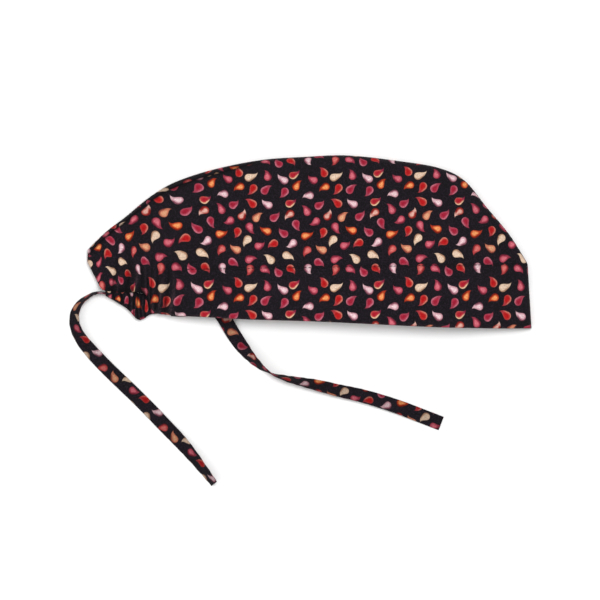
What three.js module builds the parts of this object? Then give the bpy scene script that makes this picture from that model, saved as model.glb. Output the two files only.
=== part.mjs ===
// Tie-back surgical scrub cap, lying on its side as it is laid down on a table.
//
// Millimetres, +Z up. The front of the cap points along +X and its crown along +Y, so the
// opening for the head faces -Y. The left side panel lies on the surface, the right side panel
// lies over it, and the origin is the middle of the cap's footprint.
//
// The cloth pieces are two side panels sewn together along the centre seam, a hem turned in
// around the rim, a gathered casing at the nape, and a flat tie from each end of the casing.

import * as THREE from "three";

// Cloth and sewing
const PANEL_CLOTH = 1.4;
const HEM_CLOTH = 1.2;
const SEW_GAP = 0.3;
const HEM_GAP = 0.5;
const HEM_DEPTH = 40;
const HEM_START_ROW = 6.25;

// The way the cap lies: the seam's height, the roll of the cloth there, and the distances
// from the seam, the front and the back over which the upper panel climbs to its full height.
const SEAM_HEIGHT = 4.5;
const UPPER_ROLL = 3.6;
const LOWER_ROLL = 6;
const SEAM_REACH = 62;
const FRONT_REACH = 70;
const BACK_REACH = 48;

// Sections from the back tip to the front edge. Each runs from the lower edge (the back edge,
// then the gathered edge at the nape, then the rim) to the centre seam. crown and rim are the
// heights that the upper panel reaches in the middle of the section and at its lower edge.
const SECTIONS = [
  { edgeX: -155.0, edgeY: -14.2, seamX: -155.0, seamY: -5.8, crown: 15, rim: 12 },
  { edgeX: -150.2, edgeY: -23.6, seamX: -148.8, seamY: 0.5, crown: 17, rim: 12 },
  { edgeX: -144.2, edgeY: -33.2, seamX: -139.7, seamY: 8.9, crown: 20, rim: 13 },
  { edgeX: -134.1, edgeY: -35.4, seamX: -128.5, seamY: 17.3, crown: 22, rim: 13 },
  { edgeX: -118.7, edgeY: -36.3, seamX: -113.8, seamY: 29.6, crown: 24, rim: 13 },
  { edgeX: -106.1, edgeY: -38.9, seamX: -101.9, seamY: 37.6, crown: 25, rim: 14 },
  { edgeX: -96.3, edgeY: -51.3, seamX: -92.0, seamY: 42.5, crown: 26, rim: 15 },
  { edgeX: -76.7, edgeY: -52.3, seamX: -68.3, seamY: 50.2, crown: 27, rim: 19 },
  { edgeX: -41.7, edgeY: -54.1, seamX: -33.3, seamY: 57.2, crown: 28, rim: 24 },
  { edgeX: -6.7, edgeY: -55.1, seamX: -2.5, seamY: 59.4, crown: 29, rim: 27 },
  { edgeX: 24.9, edgeY: -56.4, seamX: 24.9, seamY: 60.4, crown: 29, rim: 28 },
  { edgeX: 63.4, edgeY: -58.3, seamX: 62.0, seamY: 56.5, crown: 29, rim: 28 },
  { edgeX: 94.9, edgeY: -59.7, seamX: 91.4, seamY: 51.3, crown: 28, rim: 27 },
  { edgeX: 115.9, edgeY: -60.1, seamX: 106.8, seamY: 43.9, crown: 27, rim: 26 },
  { edgeX: 133.4, edgeY: -60.4, seamX: 123.6, seamY: 24.0, crown: 26, rim: 25 },
  { edgeX: 146.0, edgeY: -60.4, seamX: 139.0, seamY: 5.4, crown: 25, rim: 24 },
  { edgeX: 155.0, edgeY: -60.4, seamX: 152.3, seamY: -15.6, crown: 24, rim: 23 },
];
const LAST_ROW = SECTIONS.length - 1;

// Rows between which the lower edge changes from sewn shut (the back edge) to open, and the
// rows of the gathered stretch.
const BACK_EDGE = { shutTo: 1.5, openFrom: 2.4 };
const GATHERS = { fromRow: 2.1, toRow: 6.3, pleats: 7, height: 1.5, reach: 15 };

// Soft folds in the upper panel: a line from one end to the other, with the height of the
// ridge (a valley if negative) and the distance over which it fades to each side.
const FOLDS = [
  { fromX: -112, fromY: -30, toX: -84, toY: 34, height: 2.2, spread: 8 },
  { fromX: -100, fromY: -34, toX: -52, toY: 14, height: -2.4, spread: 9 },
  { fromX: -128, fromY: -30, toX: -126, toY: 6, height: -1.8, spread: 6 },
  { fromX: -96, fromY: -44, toX: -30, toY: -26, height: 1.6, spread: 8 },
  { fromX: 40, fromY: -52, toX: 96, toY: 18, height: -1.6, spread: 20 },
];

// The gathered casing, from its back end to its front end, and its puckers.
const CASING_SECTIONS = [
  { x: -141.4, y: -36.2, z: 5.3, halfWidth: 2.7, halfHeight: 4.0 },
  { x: -135.0, y: -37.9, z: 5.2, halfWidth: 3.9, halfHeight: 3.3 },
  { x: -127.0, y: -41.0, z: 5.2, halfWidth: 6.4, halfHeight: 3.0 },
  { x: -119.0, y: -45.1, z: 5.2, halfWidth: 9.2, halfHeight: 3.0 },
  { x: -110.0, y: -44.0, z: 5.2, halfWidth: 6.9, halfHeight: 3.0 },
  { x: -101.0, y: -46.6, z: 5.2, halfWidth: 4.4, halfHeight: 3.0 },
  { x: -97.0, y: -46.9, z: 5.2, halfWidth: 4.2, halfHeight: 2.8 },
];
const CASING_PUCKERS = 9;
const CASING_PUCKER_SHARE = 0.09;

// The ties are flat tapes. Each route lists the middle of the tape in plan, the angle that the
// tape leans from lying flat, and the height of its lower edge above the surface.
const TIE_WIDTH = 10;
const TIE_CLOTH = 1.2;
const TIE_CORNER = 0.35;
const BACK_TIE_ROUTE = [
  { x: -141.9, y: -36.1, lean: 82, lift: 0.3 },
  { x: -146.6, y: -35.4, lean: 78, lift: 0.3 },
  { x: -151.6, y: -36.6, lean: 70, lift: 0 },
  { x: -157.5, y: -40.4, lean: 60, lift: 0 },
  { x: -162.2, y: -45.6, lean: 50, lift: 0 },
  { x: -164.2, y: -52.0, lean: 45, lift: 0 },
  { x: -163.8, y: -58.3, lean: 41, lift: 0 },
  { x: -161.0, y: -65.3, lean: 33, lift: 0 },
  { x: -156.1, y: -72.3, lean: 21, lift: 0 },
  { x: -148.8, y: -80.7, lean: 10, lift: 0 },
  { x: -140.4, y: -89.4, lean: 4, lift: 0 },
  { x: -131.3, y: -98.2, lean: 0, lift: 0 },
  { x: -121.5, y: -107.6, lean: 0, lift: 0 },
  { x: -111.7, y: -117.4, lean: 0, lift: 0 },
  { x: -101.9, y: -127.6, lean: 4, lift: 0 },
  { x: -92.1, y: -137.7, lean: 14, lift: 0 },
  { x: -83.0, y: -147.9, lean: 32, lift: 0 },
  { x: -74.6, y: -158.4, lean: 48, lift: 0 },
  { x: -66.5, y: -168.9, lean: 60, lift: 0 },
];
const RIM_TIE_ROUTE = [
  { x: -96.4, y: -46.9, lean: 0, lift: 4.1 },
  { x: -89.0, y: -47.3, lean: 0, lift: 3.5 },
  { x: -81.0, y: -46.4, lean: 0, lift: 3.1 },
  { x: -73.2, y: -45.2, lean: 0, lift: 3.1 },
  { x: -66.6, y: -46.6, lean: 0, lift: 3.1 },
  { x: -62.0, y: -50.2, lean: 0, lift: 3.1 },
  { x: -58.6, y: -55.0, lean: 2, lift: 3.1 },
  { x: -55.3, y: -60.8, lean: 4, lift: 1.3 },
  { x: -51.5, y: -67.0, lean: 9, lift: 0.2 },
  { x: -46.9, y: -73.3, lean: 25, lift: 0 },
  { x: -41.7, y: -79.6, lean: 45, lift: 0 },
  { x: -35.4, y: -85.9, lean: 62, lift: 0 },
  { x: -27.0, y: -91.7, lean: 88, lift: 0 },
  { x: -17.9, y: -94.9, lean: 108, lift: 0 },
  { x: -6.7, y: -97.5, lean: 122, lift: 0 },
  { x: 6.0, y: -100.3, lean: 138, lift: 0 },
  { x: 20.0, y: -103.8, lean: 147, lift: 0 },
  { x: 34.0, y: -106.9, lean: 154, lift: 0 },
  { x: 48.0, y: -110.8, lean: 159, lift: 0 },
  { x: 63.4, y: -115.9, lean: 166, lift: 0 },
  { x: 77.4, y: -121.3, lean: 175, lift: 0 },
  { x: 92.1, y: -127.0, lean: 180, lift: 0 },
];

// Looks
const PRINTED_COTTON = { color: 0x211d26, roughness: 0.9, metalness: 0 };
const COTTON_TAPE = { color: 0x1b171c, roughness: 0.92, metalness: 0 };

// Small maths

const { clamp, lerp, smoothstep, degToRad } = THREE.MathUtils;

// 0 at the edge, rising as a quarter circle to 1.
const quarterRound = (t) => Math.sqrt(1 - (1 - clamp(t, 0, 1)) ** 2);

// 0 at the edge, rising as a parabola that levels out at 1.
const easeOut = (t) => 1 - (1 - clamp(t, 0, 1)) ** 2;

// count + 1 values from one number to another, evenly spaced.
const evenly = (from, to, count) =>
  Array.from({ length: count + 1 }, (_, i) => lerp(from, to, i / count));

// The same, drawn together towards both ends.
const crowdedAtEnds = (from, to, count) =>
  evenly(0, Math.PI, count).map((turn) => lerp(from, to, (1 - Math.cos(turn)) / 2));

// The same, drawn together towards the last value.
const crowdedAtLast = (from, to, count) =>
  evenly(0, Math.PI / 2, count).map((turn) => lerp(from, to, Math.sin(turn)));

// Lists of values end to end, each one's first value left out if it repeats the last.
const inOneRow = (...lists) => lists.flat().filter((value, i, all) => value !== all[i - 1]);

// A smooth curve through two columns of the section table.
const columnCurve = (first, second) =>
  new THREE.CatmullRomCurve3(SECTIONS.map((s) => new THREE.Vector3(s[first], s[second], 0)));

const edgeCurve = columnCurve("edgeX", "edgeY");
const seamCurve = columnCurve("seamX", "seamY");
const heightCurve = columnCurve("crown", "rim");
const onRow = (curve, row) => curve.getPoint(row / LAST_ROW);

// Distance in plan from a point to the line through a section's two ends.
function distanceToSection(point, row) {
  const edge = onRow(edgeCurve, row);
  const along = onRow(seamCurve, row).sub(edge).normalize();
  const away = point.clone().sub(edge);
  return Math.abs(away.x * along.y - away.y * along.x);
}

// A point of a section in plan, share of the way from its lower edge to the seam, with its
// distances from the edges that are sewn. inset keeps it that far inside the seam, the front
// and the back, for the inner face of a wall.
function planPoint(row, share, inset) {
  const frontStep = inset / onRow(edgeCurve, LAST_ROW).distanceTo(onRow(edgeCurve, LAST_ROW - 1));
  const backStep = inset / onRow(edgeCurve, 0).distanceTo(onRow(edgeCurve, 1));
  const insideRow = lerp(backStep, LAST_ROW - frontStep, row / LAST_ROW);
  const edge = onRow(edgeCurve, insideRow);
  const seam = onRow(seamCurve, insideRow);
  const length = edge.distanceTo(seam);
  const shut = 1 - smoothstep(insideRow, BACK_EDGE.shutTo, BACK_EDGE.openFrom);
  const fromEdge = lerp(inset * shut, length - inset, share);
  const point = edge.clone().lerp(seam, fromEdge / length);
  return {
    row: insideRow,
    point,
    share: fromEdge / length,
    fromEdge,
    fromSeam: length - fromEdge,
    fromShutEdge: fromEdge + (1 - shut) * length,
    fromFront: distanceToSection(point, LAST_ROW),
    fromBack: distanceToSection(point, 0),
  };
}

const sewnDistance = (at) => Math.min(at.fromSeam, at.fromShutEdge, at.fromFront, at.fromBack);

// Height that the gathers add along the nape, dying away from the gathered edge.
function gatherHeight(at) {
  const { fromRow, toRow, pleats, height, reach } = GATHERS;
  const along = (at.row - fromRow) / (toRow - fromRow);
  if (along <= 0 || along >= 1) return 0;
  const ends = Math.sin(Math.PI * along) ** 0.5;
  return height * ends * Math.cos(2 * Math.PI * pleats * along) * Math.exp(-at.fromEdge / reach);
}

// Height that the soft folds add: a bell across each fold that tapers to nothing at its ends.
function foldHeight(at) {
  return FOLDS.reduce((sum, fold) => {
    const from = new THREE.Vector3(fold.fromX, fold.fromY, 0);
    const line = new THREE.Line3(from, new THREE.Vector3(fold.toX, fold.toY, 0));
    const along = line.closestPointToPointParameter(at.point, true);
    const away = line.at(along, new THREE.Vector3()).distanceTo(at.point);
    return sum + fold.height * Math.sin(Math.PI * along) * Math.exp(-((away / fold.spread) ** 2));
  }, 0);
}

// A point of the upper panel's wall, inset below its outer face.
function upperPoint(row, share, inset) {
  const at = planPoint(row, share, inset);
  const heights = onRow(heightCurve, at.row);
  const full = lerp(heights.y, heights.x, smoothstep(at.share, 0, 0.6));
  const rollRadius = UPPER_ROLL - inset;
  const roll = rollRadius * quarterRound((sewnDistance(at) - inset) / rollRadius);
  const climb =
    easeOut(at.fromSeam / SEAM_REACH) *
    easeOut(at.fromFront / FRONT_REACH) *
    easeOut(at.fromBack / BACK_REACH);
  const relief = (foldHeight(at) + gatherHeight(at)) * easeOut(sewnDistance(at) / SEAM_REACH);
  const rise = (full - SEAM_HEIGHT - UPPER_ROLL) * climb;
  return at.point.setZ(SEAM_HEIGHT + SEW_GAP / 2 + roll + rise + relief);
}

// A point of the lower panel's wall, inset above its outer face, which is flat on the surface.
function lowerPoint(row, share, inset) {
  const at = planPoint(row, share, inset);
  const rollRadius = LOWER_ROLL - inset;
  const edgeHeight = SEAM_HEIGHT - SEW_GAP / 2 - inset;
  const roll = edgeHeight * (1 - quarterRound((sewnDistance(at) - inset) / rollRadius));
  return at.point.setZ(inset + roll);
}

// Solids

// A closed geometry from vertices and triangles, turned to face outwards.
function closedGeometry(points, triangles) {
  const volume = triangles.reduce((sum, [a, b, c]) => {
    return sum + points[a].dot(new THREE.Vector3().crossVectors(points[b], points[c]));
  }, 0);
  const facing = volume < 0 ? triangles.map(([a, b, c]) => [a, c, b]) : triangles;
  const geometry = new THREE.BufferGeometry().setFromPoints(points);
  geometry.setIndex(facing.flat());
  geometry.computeVertexNormals();
  return geometry;
}

// The wall between two grids of points of the same size, closed all round its border.
function wallGeometry(outer, inner) {
  const rows = outer.length;
  const columns = outer[0].length;
  const points = [...outer.flat(), ...inner.flat()];
  const outerIndex = (i, j) => i * columns + j;
  const innerIndex = (i, j) => rows * columns + outerIndex(i, j);
  const triangles = [];
  const quad = (a, b, c, d) => triangles.push([a, b, c], [a, c, d]);
  for (let i = 0; i < rows - 1; i++) {
    for (let j = 0; j < columns - 1; j++) {
      quad(outerIndex(i, j), outerIndex(i + 1, j), outerIndex(i + 1, j + 1), outerIndex(i, j + 1));
      quad(innerIndex(i, j), innerIndex(i, j + 1), innerIndex(i + 1, j + 1), innerIndex(i + 1, j));
    }
  }
  for (let i = 0; i < rows - 1; i++) {
    const last = columns - 1;
    quad(outerIndex(i, 0), innerIndex(i, 0), innerIndex(i + 1, 0), outerIndex(i + 1, 0));
    quad(outerIndex(i, last), outerIndex(i + 1, last), innerIndex(i + 1, last), innerIndex(i, last));
  }
  for (let j = 0; j < columns - 1; j++) {
    const last = rows - 1;
    quad(outerIndex(0, j), outerIndex(0, j + 1), innerIndex(0, j + 1), innerIndex(0, j));
    quad(outerIndex(last, j), innerIndex(last, j), innerIndex(last, j + 1), outerIndex(last, j + 1));
  }
  return closedGeometry(points, triangles);
}

// A solid through rings of the same number of points, with a flat fan over each end.
function loftGeometry(rings) {
  const sides = rings[0].length;
  const points = rings.flat();
  const triangles = [];
  for (let i = 0; i < rings.length - 1; i++) {
    for (let k = 0; k < sides; k++) {
      const [a, b] = [i * sides + k, i * sides + ((k + 1) % sides)];
      triangles.push([a, b, b + sides], [a, b + sides, a + sides]);
    }
  }
  const lastRing = (rings.length - 1) * sides;
  for (let k = 1; k < sides - 1; k++) {
    triangles.push([0, k + 1, k], [lastRing, lastRing + k, lastRing + k + 1]);
  }
  return closedGeometry(points, triangles);
}

function cloth(name, geometry, look) {
  const mesh = new THREE.Mesh(geometry, new THREE.MeshStandardMaterial(look));
  mesh.name = name;
  return mesh;
}

// Side panels

function sidePanel(name, panelPoint, rows, shares) {
  const face = (inset) => rows.map((row) => shares.map((share) => panelPoint(row, share, inset)));
  return cloth(name, wallGeometry(face(0), face(PANEL_CLOTH)), PRINTED_COTTON);
}

function rightSidePanel() {
  const gathersEnd = Math.ceil(GATHERS.toRow);
  const rows = inOneRow(
    crowdedAtEnds(0, 2, 7),
    evenly(2, gathersEnd, 30),
    evenly(gathersEnd, 13, 11),
    crowdedAtLast(13, LAST_ROW, 9),
  );
  return sidePanel("right_side_panel", upperPoint, rows, crowdedAtEnds(0, 1, 13));
}

function leftSidePanel() {
  const rows = inOneRow(
    crowdedAtEnds(0, 2, 7),
    evenly(2, 13, 20),
    crowdedAtLast(13, LAST_ROW, 9),
  );
  return sidePanel("left_side_panel", lowerPoint, rows, crowdedAtEnds(0, 1, 9));
}

// The hem turned in around the rim: along the upper panel to the front, and back along the
// lower panel.
function rimHem() {
  const rows = inOneRow(evenly(HEM_START_ROW, 13, 12), crowdedAtLast(13, LAST_ROW, 8));
  const depthShares = evenly(0, 1, 5);
  const leg = (panelPoint, inset) =>
    rows.map((row) => {
      const length = onRow(edgeCurve, row).distanceTo(onRow(seamCurve, row));
      return depthShares.map((share) => panelPoint(row, (share * HEM_DEPTH) / length, inset));
    });
  const face = (inset) => [...leg(upperPoint, inset), ...leg(lowerPoint, inset).reverse()];
  const againstPanel = PANEL_CLOTH + HEM_GAP;
  const wall = wallGeometry(face(againstPanel), face(againstPanel + HEM_CLOTH));
  return cloth("rim_hem", wall, PRINTED_COTTON);
}

// The gathered casing at the nape: an oval tube of cloth, puckered along its length.
function napeCasing() {
  const column = (...keys) =>
    new THREE.CatmullRomCurve3(CASING_SECTIONS.map((s) => new THREE.Vector3(...keys.map((k) => s[k]))));
  const middle = column("x", "y", "z");
  const halfSizes = new THREE.CatmullRomCurve3(
    CASING_SECTIONS.map((s) => new THREE.Vector3(s.halfWidth, s.halfHeight, 0)),
  );
  const up = new THREE.Vector3(0, 0, 1);
  const sides = 12;
  const rings = evenly(0, 1, 5 * CASING_PUCKERS).map((along) => {
    const centre = middle.getPoint(along);
    const size = halfSizes.getPoint(along);
    const across = new THREE.Vector3().crossVectors(up, middle.getTangent(along)).normalize();
    const pucker = 1 + CASING_PUCKER_SHARE * Math.cos(2 * Math.PI * CASING_PUCKERS * along);
    return Array.from({ length: sides }, (_, k) => {
      const turn = (2 * Math.PI * k) / sides;
      return centre
        .clone()
        .addScaledVector(across, size.x * Math.cos(turn))
        .addScaledVector(up, size.y * pucker * Math.sin(turn));
    });
  });
  return cloth("nape_casing", loftGeometry(rings), PRINTED_COTTON);
}

// A flat tie along its route. The tape turns about its middle line by the lean.
function tie(name, route, steps) {
  const half = { width: TIE_WIDTH / 2, cloth: TIE_CLOTH / 2 };
  const middleOf = ({ x, y, lean, lift }) => {
    const turn = degToRad(lean);
    const reachDown = half.width * Math.abs(Math.sin(turn)) + half.cloth * Math.abs(Math.cos(turn));
    return new THREE.Vector3(x, y, lift + SEW_GAP + reachDown);
  };
  const middle = new THREE.CatmullRomCurve3(route.map(middleOf));
  const leans = new THREE.CatmullRomCurve3(route.map((row, i) => new THREE.Vector3(i, row.lean, 0)));
  const up = new THREE.Vector3(0, 0, 1);
  const corners = [
    [half.width, half.cloth - TIE_CORNER],
    [half.width - TIE_CORNER, half.cloth],
    [TIE_CORNER - half.width, half.cloth],
    [-half.width, half.cloth - TIE_CORNER],
    [-half.width, TIE_CORNER - half.cloth],
    [TIE_CORNER - half.width, -half.cloth],
    [half.width - TIE_CORNER, -half.cloth],
    [half.width, TIE_CORNER - half.cloth],
  ];
  const rings = evenly(0, 1, steps).map((along) => {
    const centre = middle.getPoint(along);
    const forward = middle.getTangent(along);
    const flat = new THREE.Vector3().crossVectors(up, forward).normalize();
    const across = flat.applyAxisAngle(forward, degToRad(leans.getPoint(along).y));
    const through = new THREE.Vector3().crossVectors(forward, across);
    return corners.map(([w, t]) =>
      centre.clone().addScaledVector(across, w).addScaledVector(through, t),
    );
  });
  return cloth(name, loftGeometry(rings), COTTON_TAPE);
}

const cap = new THREE.Group();
cap.name = "scrub_cap";
cap.add(rightSidePanel(), leftSidePanel(), rimHem(), napeCasing());
cap.add(tie("back_tie", BACK_TIE_ROUTE, 38), tie("rim_tie", RIM_TIE_ROUTE, 42));

export default cap;
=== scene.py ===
"""Dresses the frame of a tie-back surgical scrub cap that lies on its side.

Every piece is a cloth surface worked out on a grid of two parameters. The print is a small repeat of
curled drops, charted on squares, and each face of the cloth carries the place of its nearest drop.
"""

import logging
import math
from dataclasses import dataclass
from enum import IntEnum

import bmesh
import bpy
import numpy as np
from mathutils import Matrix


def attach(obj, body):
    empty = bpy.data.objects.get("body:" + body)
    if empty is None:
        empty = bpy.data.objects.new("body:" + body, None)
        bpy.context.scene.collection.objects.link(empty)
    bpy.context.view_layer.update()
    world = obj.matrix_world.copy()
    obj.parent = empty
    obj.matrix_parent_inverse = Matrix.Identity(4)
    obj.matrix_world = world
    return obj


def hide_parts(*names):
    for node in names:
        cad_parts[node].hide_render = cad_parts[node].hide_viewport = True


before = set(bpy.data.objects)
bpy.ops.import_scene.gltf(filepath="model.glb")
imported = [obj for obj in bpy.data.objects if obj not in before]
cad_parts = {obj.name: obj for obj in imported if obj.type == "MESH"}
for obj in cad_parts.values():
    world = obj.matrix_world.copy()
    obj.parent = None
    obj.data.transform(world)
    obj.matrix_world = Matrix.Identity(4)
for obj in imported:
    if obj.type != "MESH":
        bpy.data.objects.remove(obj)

LOG = logging.getLogger("scrub_cap")
MM = 0.001
WELD = 0.0005
GENTLE = 1.12
BOW_SCALE = 6.75
UP = np.array([0.0, 0.0, 1.0])
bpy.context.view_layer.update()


def smoothstep(x: np.ndarray, low: float, high: float) -> np.ndarray:
    """0 below low, 1 above high, and an S-curve between."""
    t = np.clip((x - low) / (high - low), 0.0, 1.0)
    return t * t * (3.0 - 2.0 * t)


def quarter_round(t: np.ndarray) -> np.ndarray:
    """0 at t = 0, rising as a quarter circle to 1 at t = 1."""
    return np.sqrt(1.0 - (1.0 - np.clip(t, 0.0, 1.0)) ** 2)


def ease_out(t: np.ndarray) -> np.ndarray:
    """0 at t = 0, rising as a parabola that levels out at 1."""
    return 1.0 - (1.0 - np.clip(t, 0.0, 1.0)) ** 2


def bell(distance: np.ndarray, spread: float) -> np.ndarray:
    """1 at no distance, falling as a bell whose width is spread."""
    return np.exp(-((distance / spread) ** 2))


def catmull_rom(points: np.ndarray, at: np.ndarray) -> np.ndarray:
    """A smooth curve through points, the centripetal Catmull-Rom spline.

    Args:
        points: One row for each point the curve goes through.
        at: Places along the curve, counted in points from the first, of any array shape.

    Returns:
        The curve's points, with the shape of at and one more axis.
    """
    pts = np.asarray(points, dtype=float)
    padded = np.vstack([2.0 * pts[0] - pts[1], pts, 2.0 * pts[-1] - pts[-2]])
    at = np.asarray(at, dtype=float)
    first = np.clip(np.floor(at).astype(int), 0, len(pts) - 2)
    w = (at - first)[..., None]
    p0, p1, p2, p3 = (padded[first + k] for k in range(4))

    def knot(a: np.ndarray, b: np.ndarray) -> np.ndarray:
        """Square root of the distance between two rows of points."""
        return np.maximum(np.sqrt(np.linalg.norm(b - a, axis=-1, keepdims=True)), 1e-3)

    d0, d1, d2 = knot(p0, p1), knot(p1, p2), knot(p2, p3)
    m1 = ((p1 - p0) / d0 - (p2 - p0) / (d0 + d1) + (p2 - p1) / d1) * d1
    m2 = ((p2 - p1) / d1 - (p3 - p1) / (d1 + d2) + (p3 - p2) / d2) * d1
    return (
        p1 + m1 * w + (3.0 * (p2 - p1) - 2.0 * m1 - m2) * w**2 + (2.0 * (p1 - p2) + m1 + m2) * w**3
    )


def crowded_run(length: float, step: float, end: float, count: int) -> np.ndarray:
    """Places from 0 to length at an even step, drawn together over a short stretch at both ends.

    Args:
        length: The whole run, in mm.
        step: The even step, in mm.
        end: Length of the crowded stretch at each end, in mm.
        count: Places in each crowded stretch.

    Returns:
        The places, rising from 0 to length.
    """
    near = end * (1.0 - np.cos(np.linspace(0.0, math.pi / 2.0, count, endpoint=False)))
    middle = np.linspace(end, length - end, max(2, round((length - 2.0 * end) / step) + 1))
    return np.concatenate([near, middle, length - near[::-1]])


class DropKind(IntEnum):
    """The colourings of the printed drops."""

    CREAM = 0
    BLUSH = 1
    ROSE = 2
    CRIMSON = 3
    SCARLET = 4
    CRESCENT = 5
    ORANGE = 6
    PEACH = 7
    FLAME = 8
    CORAL = 9


@dataclass(frozen=True)
class Drop:
    """One drop of the repeat: its round head, the tip of its tail, the turn of its tail and its colour."""

    head_x: float
    head_y: float
    tip_x: float
    tip_y: float
    curl: int
    kind: DropKind


K = DropKind
DROPS = (
    Drop(81.0, 97.5, 87.5, 103.5, +1, K.CRESCENT),
    Drop(17.0, 92.0, 11.5, 97.5, -1, K.ROSE),
    Drop(27.5, 99.0, 22.5, 105.0, +1, K.SCARLET),
    Drop(37.0, 94.5, 46.0, 100.0, +1, K.CREAM),
    Drop(56.0, 95.5, 52.5, 102.5, +1, K.ROSE),
    Drop(72.5, 92.0, 66.0, 99.0, -1, K.BLUSH),
    Drop(84.0, 86.0, 90.0, 92.0, -1, K.ORANGE),
    Drop(29.0, 85.5, 22.5, 80.5, +1, K.ORANGE),
    Drop(42.0, 84.0, 36.0, 77.5, -1, K.SCARLET),
    Drop(53.0, 81.5, 60.5, 86.5, -1, K.CRIMSON),
    Drop(73.0, 81.0, 67.5, 75.0, -1, K.CRIMSON),
    Drop(13.0, 77.0, 5.5, 74.5, +1, K.BLUSH),
    Drop(77.5, 69.0, 84.0, 74.0, +1, K.CRESCENT),
    Drop(21.5, 66.5, 27.0, 72.0, +1, K.CRIMSON),
    Drop(41.5, 68.0, 33.5, 72.5, +1, K.SCARLET),
    Drop(57.0, 67.0, 50.5, 73.0, -1, K.BLUSH),
    Drop(10.5, 60.5, 4.5, 67.0, +1, K.ROSE),
    Drop(30.5, 55.5, 33.0, 63.0, +1, K.FLAME),
    Drop(44.5, 54.0, 51.5, 59.0, -1, K.PEACH),
    Drop(62.0, 54.5, 67.5, 61.0, +1, K.CRIMSON),
    Drop(78.5, 59.0, 73.5, 52.5, +1, K.FLAME),
    Drop(84.0, 49.0, 88.5, 42.0, +1, K.CRIMSON),
    Drop(19.5, 51.0, 12.0, 48.5, -1, K.ROSE),
    Drop(38.0, 45.5, 43.5, 38.5, +1, K.ROSE),
    Drop(56.0, 41.0, 48.5, 46.0, -1, K.ORANGE),
    Drop(72.5, 39.0, 67.5, 45.0, -1, K.CRIMSON),
    Drop(8.0, 36.5, 16.5, 41.0, +1, K.ORANGE),
    Drop(26.5, 40.5, 23.0, 34.5, -1, K.SCARLET),
    Drop(36.5, 33.0, 33.0, 25.5, +1, K.CREAM),
    Drop(81.5, 30.0, 74.0, 26.5, -1, K.BLUSH),
    Drop(47.0, 26.5, 53.0, 31.0, +1, K.ROSE),
    Drop(62.5, 29.5, 56.5, 24.5, +1, K.SCARLET),
    Drop(10.5, 23.0, 7.5, 16.0, +1, K.CORAL),
    Drop(26.0, 22.5, 19.0, 28.0, -1, K.PEACH),
    Drop(74.5, 18.0, 82.0, 13.0, -1, K.CREAM),
    Drop(59.5, 13.0, 52.0, 18.0, +1, K.CREAM),
    Drop(37.5, 13.5, 46.0, 14.0, -1, K.ROSE),
    Drop(21.0, 11.0, 27.0, 6.0, -1, K.CRIMSON),
    Drop(78.5, 5.0, 82.5, -1.0, -1, K.SCARLET),
    Drop(11.0, 5.5, 14.5, -0.5, +1, K.BLUSH),
    Drop(39.0, 4.5, 35.0, -2.0, -1, K.CORAL),
    Drop(52.5, 4.5, 58.0, -1.0, -1, K.ROSE),
    Drop(67.0, 0.5, 64.5, 7.0, -1, K.CRIMSON),
)


@dataclass(frozen=True)
class PrintChart:
    """The print's repeat, charted on squares, and the shape of its drops.

    A drop's own axis runs from its head at 0 to its tip, and at t of the way it bows to one side by
    BOW_SCALE x bow x t^2 x (1 - t), so that the tail alone curls. The half width is radius x
    (1 - t^swell)^taper, so that the head is round and the tail comes to a point.
    A face keeps the drop's length as a fraction beside the number of its colouring.
    """

    square: float = 0.7
    wide: float = 85.0
    high: float = 109.0
    origin_x: float = -8.75
    origin_y: float = -22.4
    radius: float = 3.92
    bow: float = 1.15
    swell: float = 1.5
    taper: float = 1.3
    shortest: float = 5.0
    spare: float = 7.0

    def squares(self, x: np.ndarray, y: np.ndarray) -> np.ndarray:
        """Places on the cloth in mm, as places on the chart in squares."""
        return np.stack([(x - self.origin_x) / self.square, (y - self.origin_y) / self.square], axis=-1)

    def depth(self, x: np.ndarray, y: np.ndarray, length: np.ndarray) -> np.ndarray:
        """Distance outside a drop's outline: the offset from its bowed axis less its half width."""
        t = np.clip(x / length, 0.0, 1.0)
        off = y + self.bow * BOW_SCALE * t * t * (1.0 - t)
        past = np.minimum(x, 0.0) + np.maximum(x - length, 0.0)
        return np.hypot(past, off) - self.radius * (1.0 - t**self.swell) ** self.taper

    def face_drops(self, corners: np.ndarray) -> np.ndarray:
        """Gives each face its nearest drop and the places of the face's corners in that drop.

        The head is taken at its nearest repeat. The place is then turned so that the tail points along
        x, and mirrored so that every tail turns the same way.

        Args:
            corners: Places on the chart, one row of corners for each face.

        Returns:
            For each corner: the place along and across the drop, and the number of its colouring with
            the drop's length as a fraction.
        """
        heads = np.array([(d.head_x, d.head_y) for d in DROPS])
        ways = np.array([(d.tip_x - d.head_x, d.tip_y - d.head_y) for d in DROPS])
        lengths = np.linalg.norm(ways, axis=1)
        along = ways / lengths[:, None]
        across = np.stack([-along[:, 1], along[:, 0]], axis=1) * np.array([d.curl for d in DROPS])[:, None]
        codes = np.array([float(d.kind) for d in DROPS]) + (lengths - self.shortest) / self.spare
        repeat = np.array([self.wide, self.high])

        centres = corners.mean(axis=1)
        away = centres[:, None, :] - heads[None]
        away -= repeat * np.round(away / repeat)
        best = np.argmin(self.depth((away * along).sum(-1), (away * across).sum(-1), lengths), axis=1)
        head = centres - away[np.arange(len(best)), best]
        offset = corners - head[:, None, :]
        x = (offset * along[best][:, None, :]).sum(-1)
        y = (offset * across[best][:, None, :]).sum(-1)
        return np.stack([x, y, np.broadcast_to(codes[best][:, None], x.shape)], axis=-1)


PRINT = PrintChart()
WRONG_SIDE = 16.0


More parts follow.
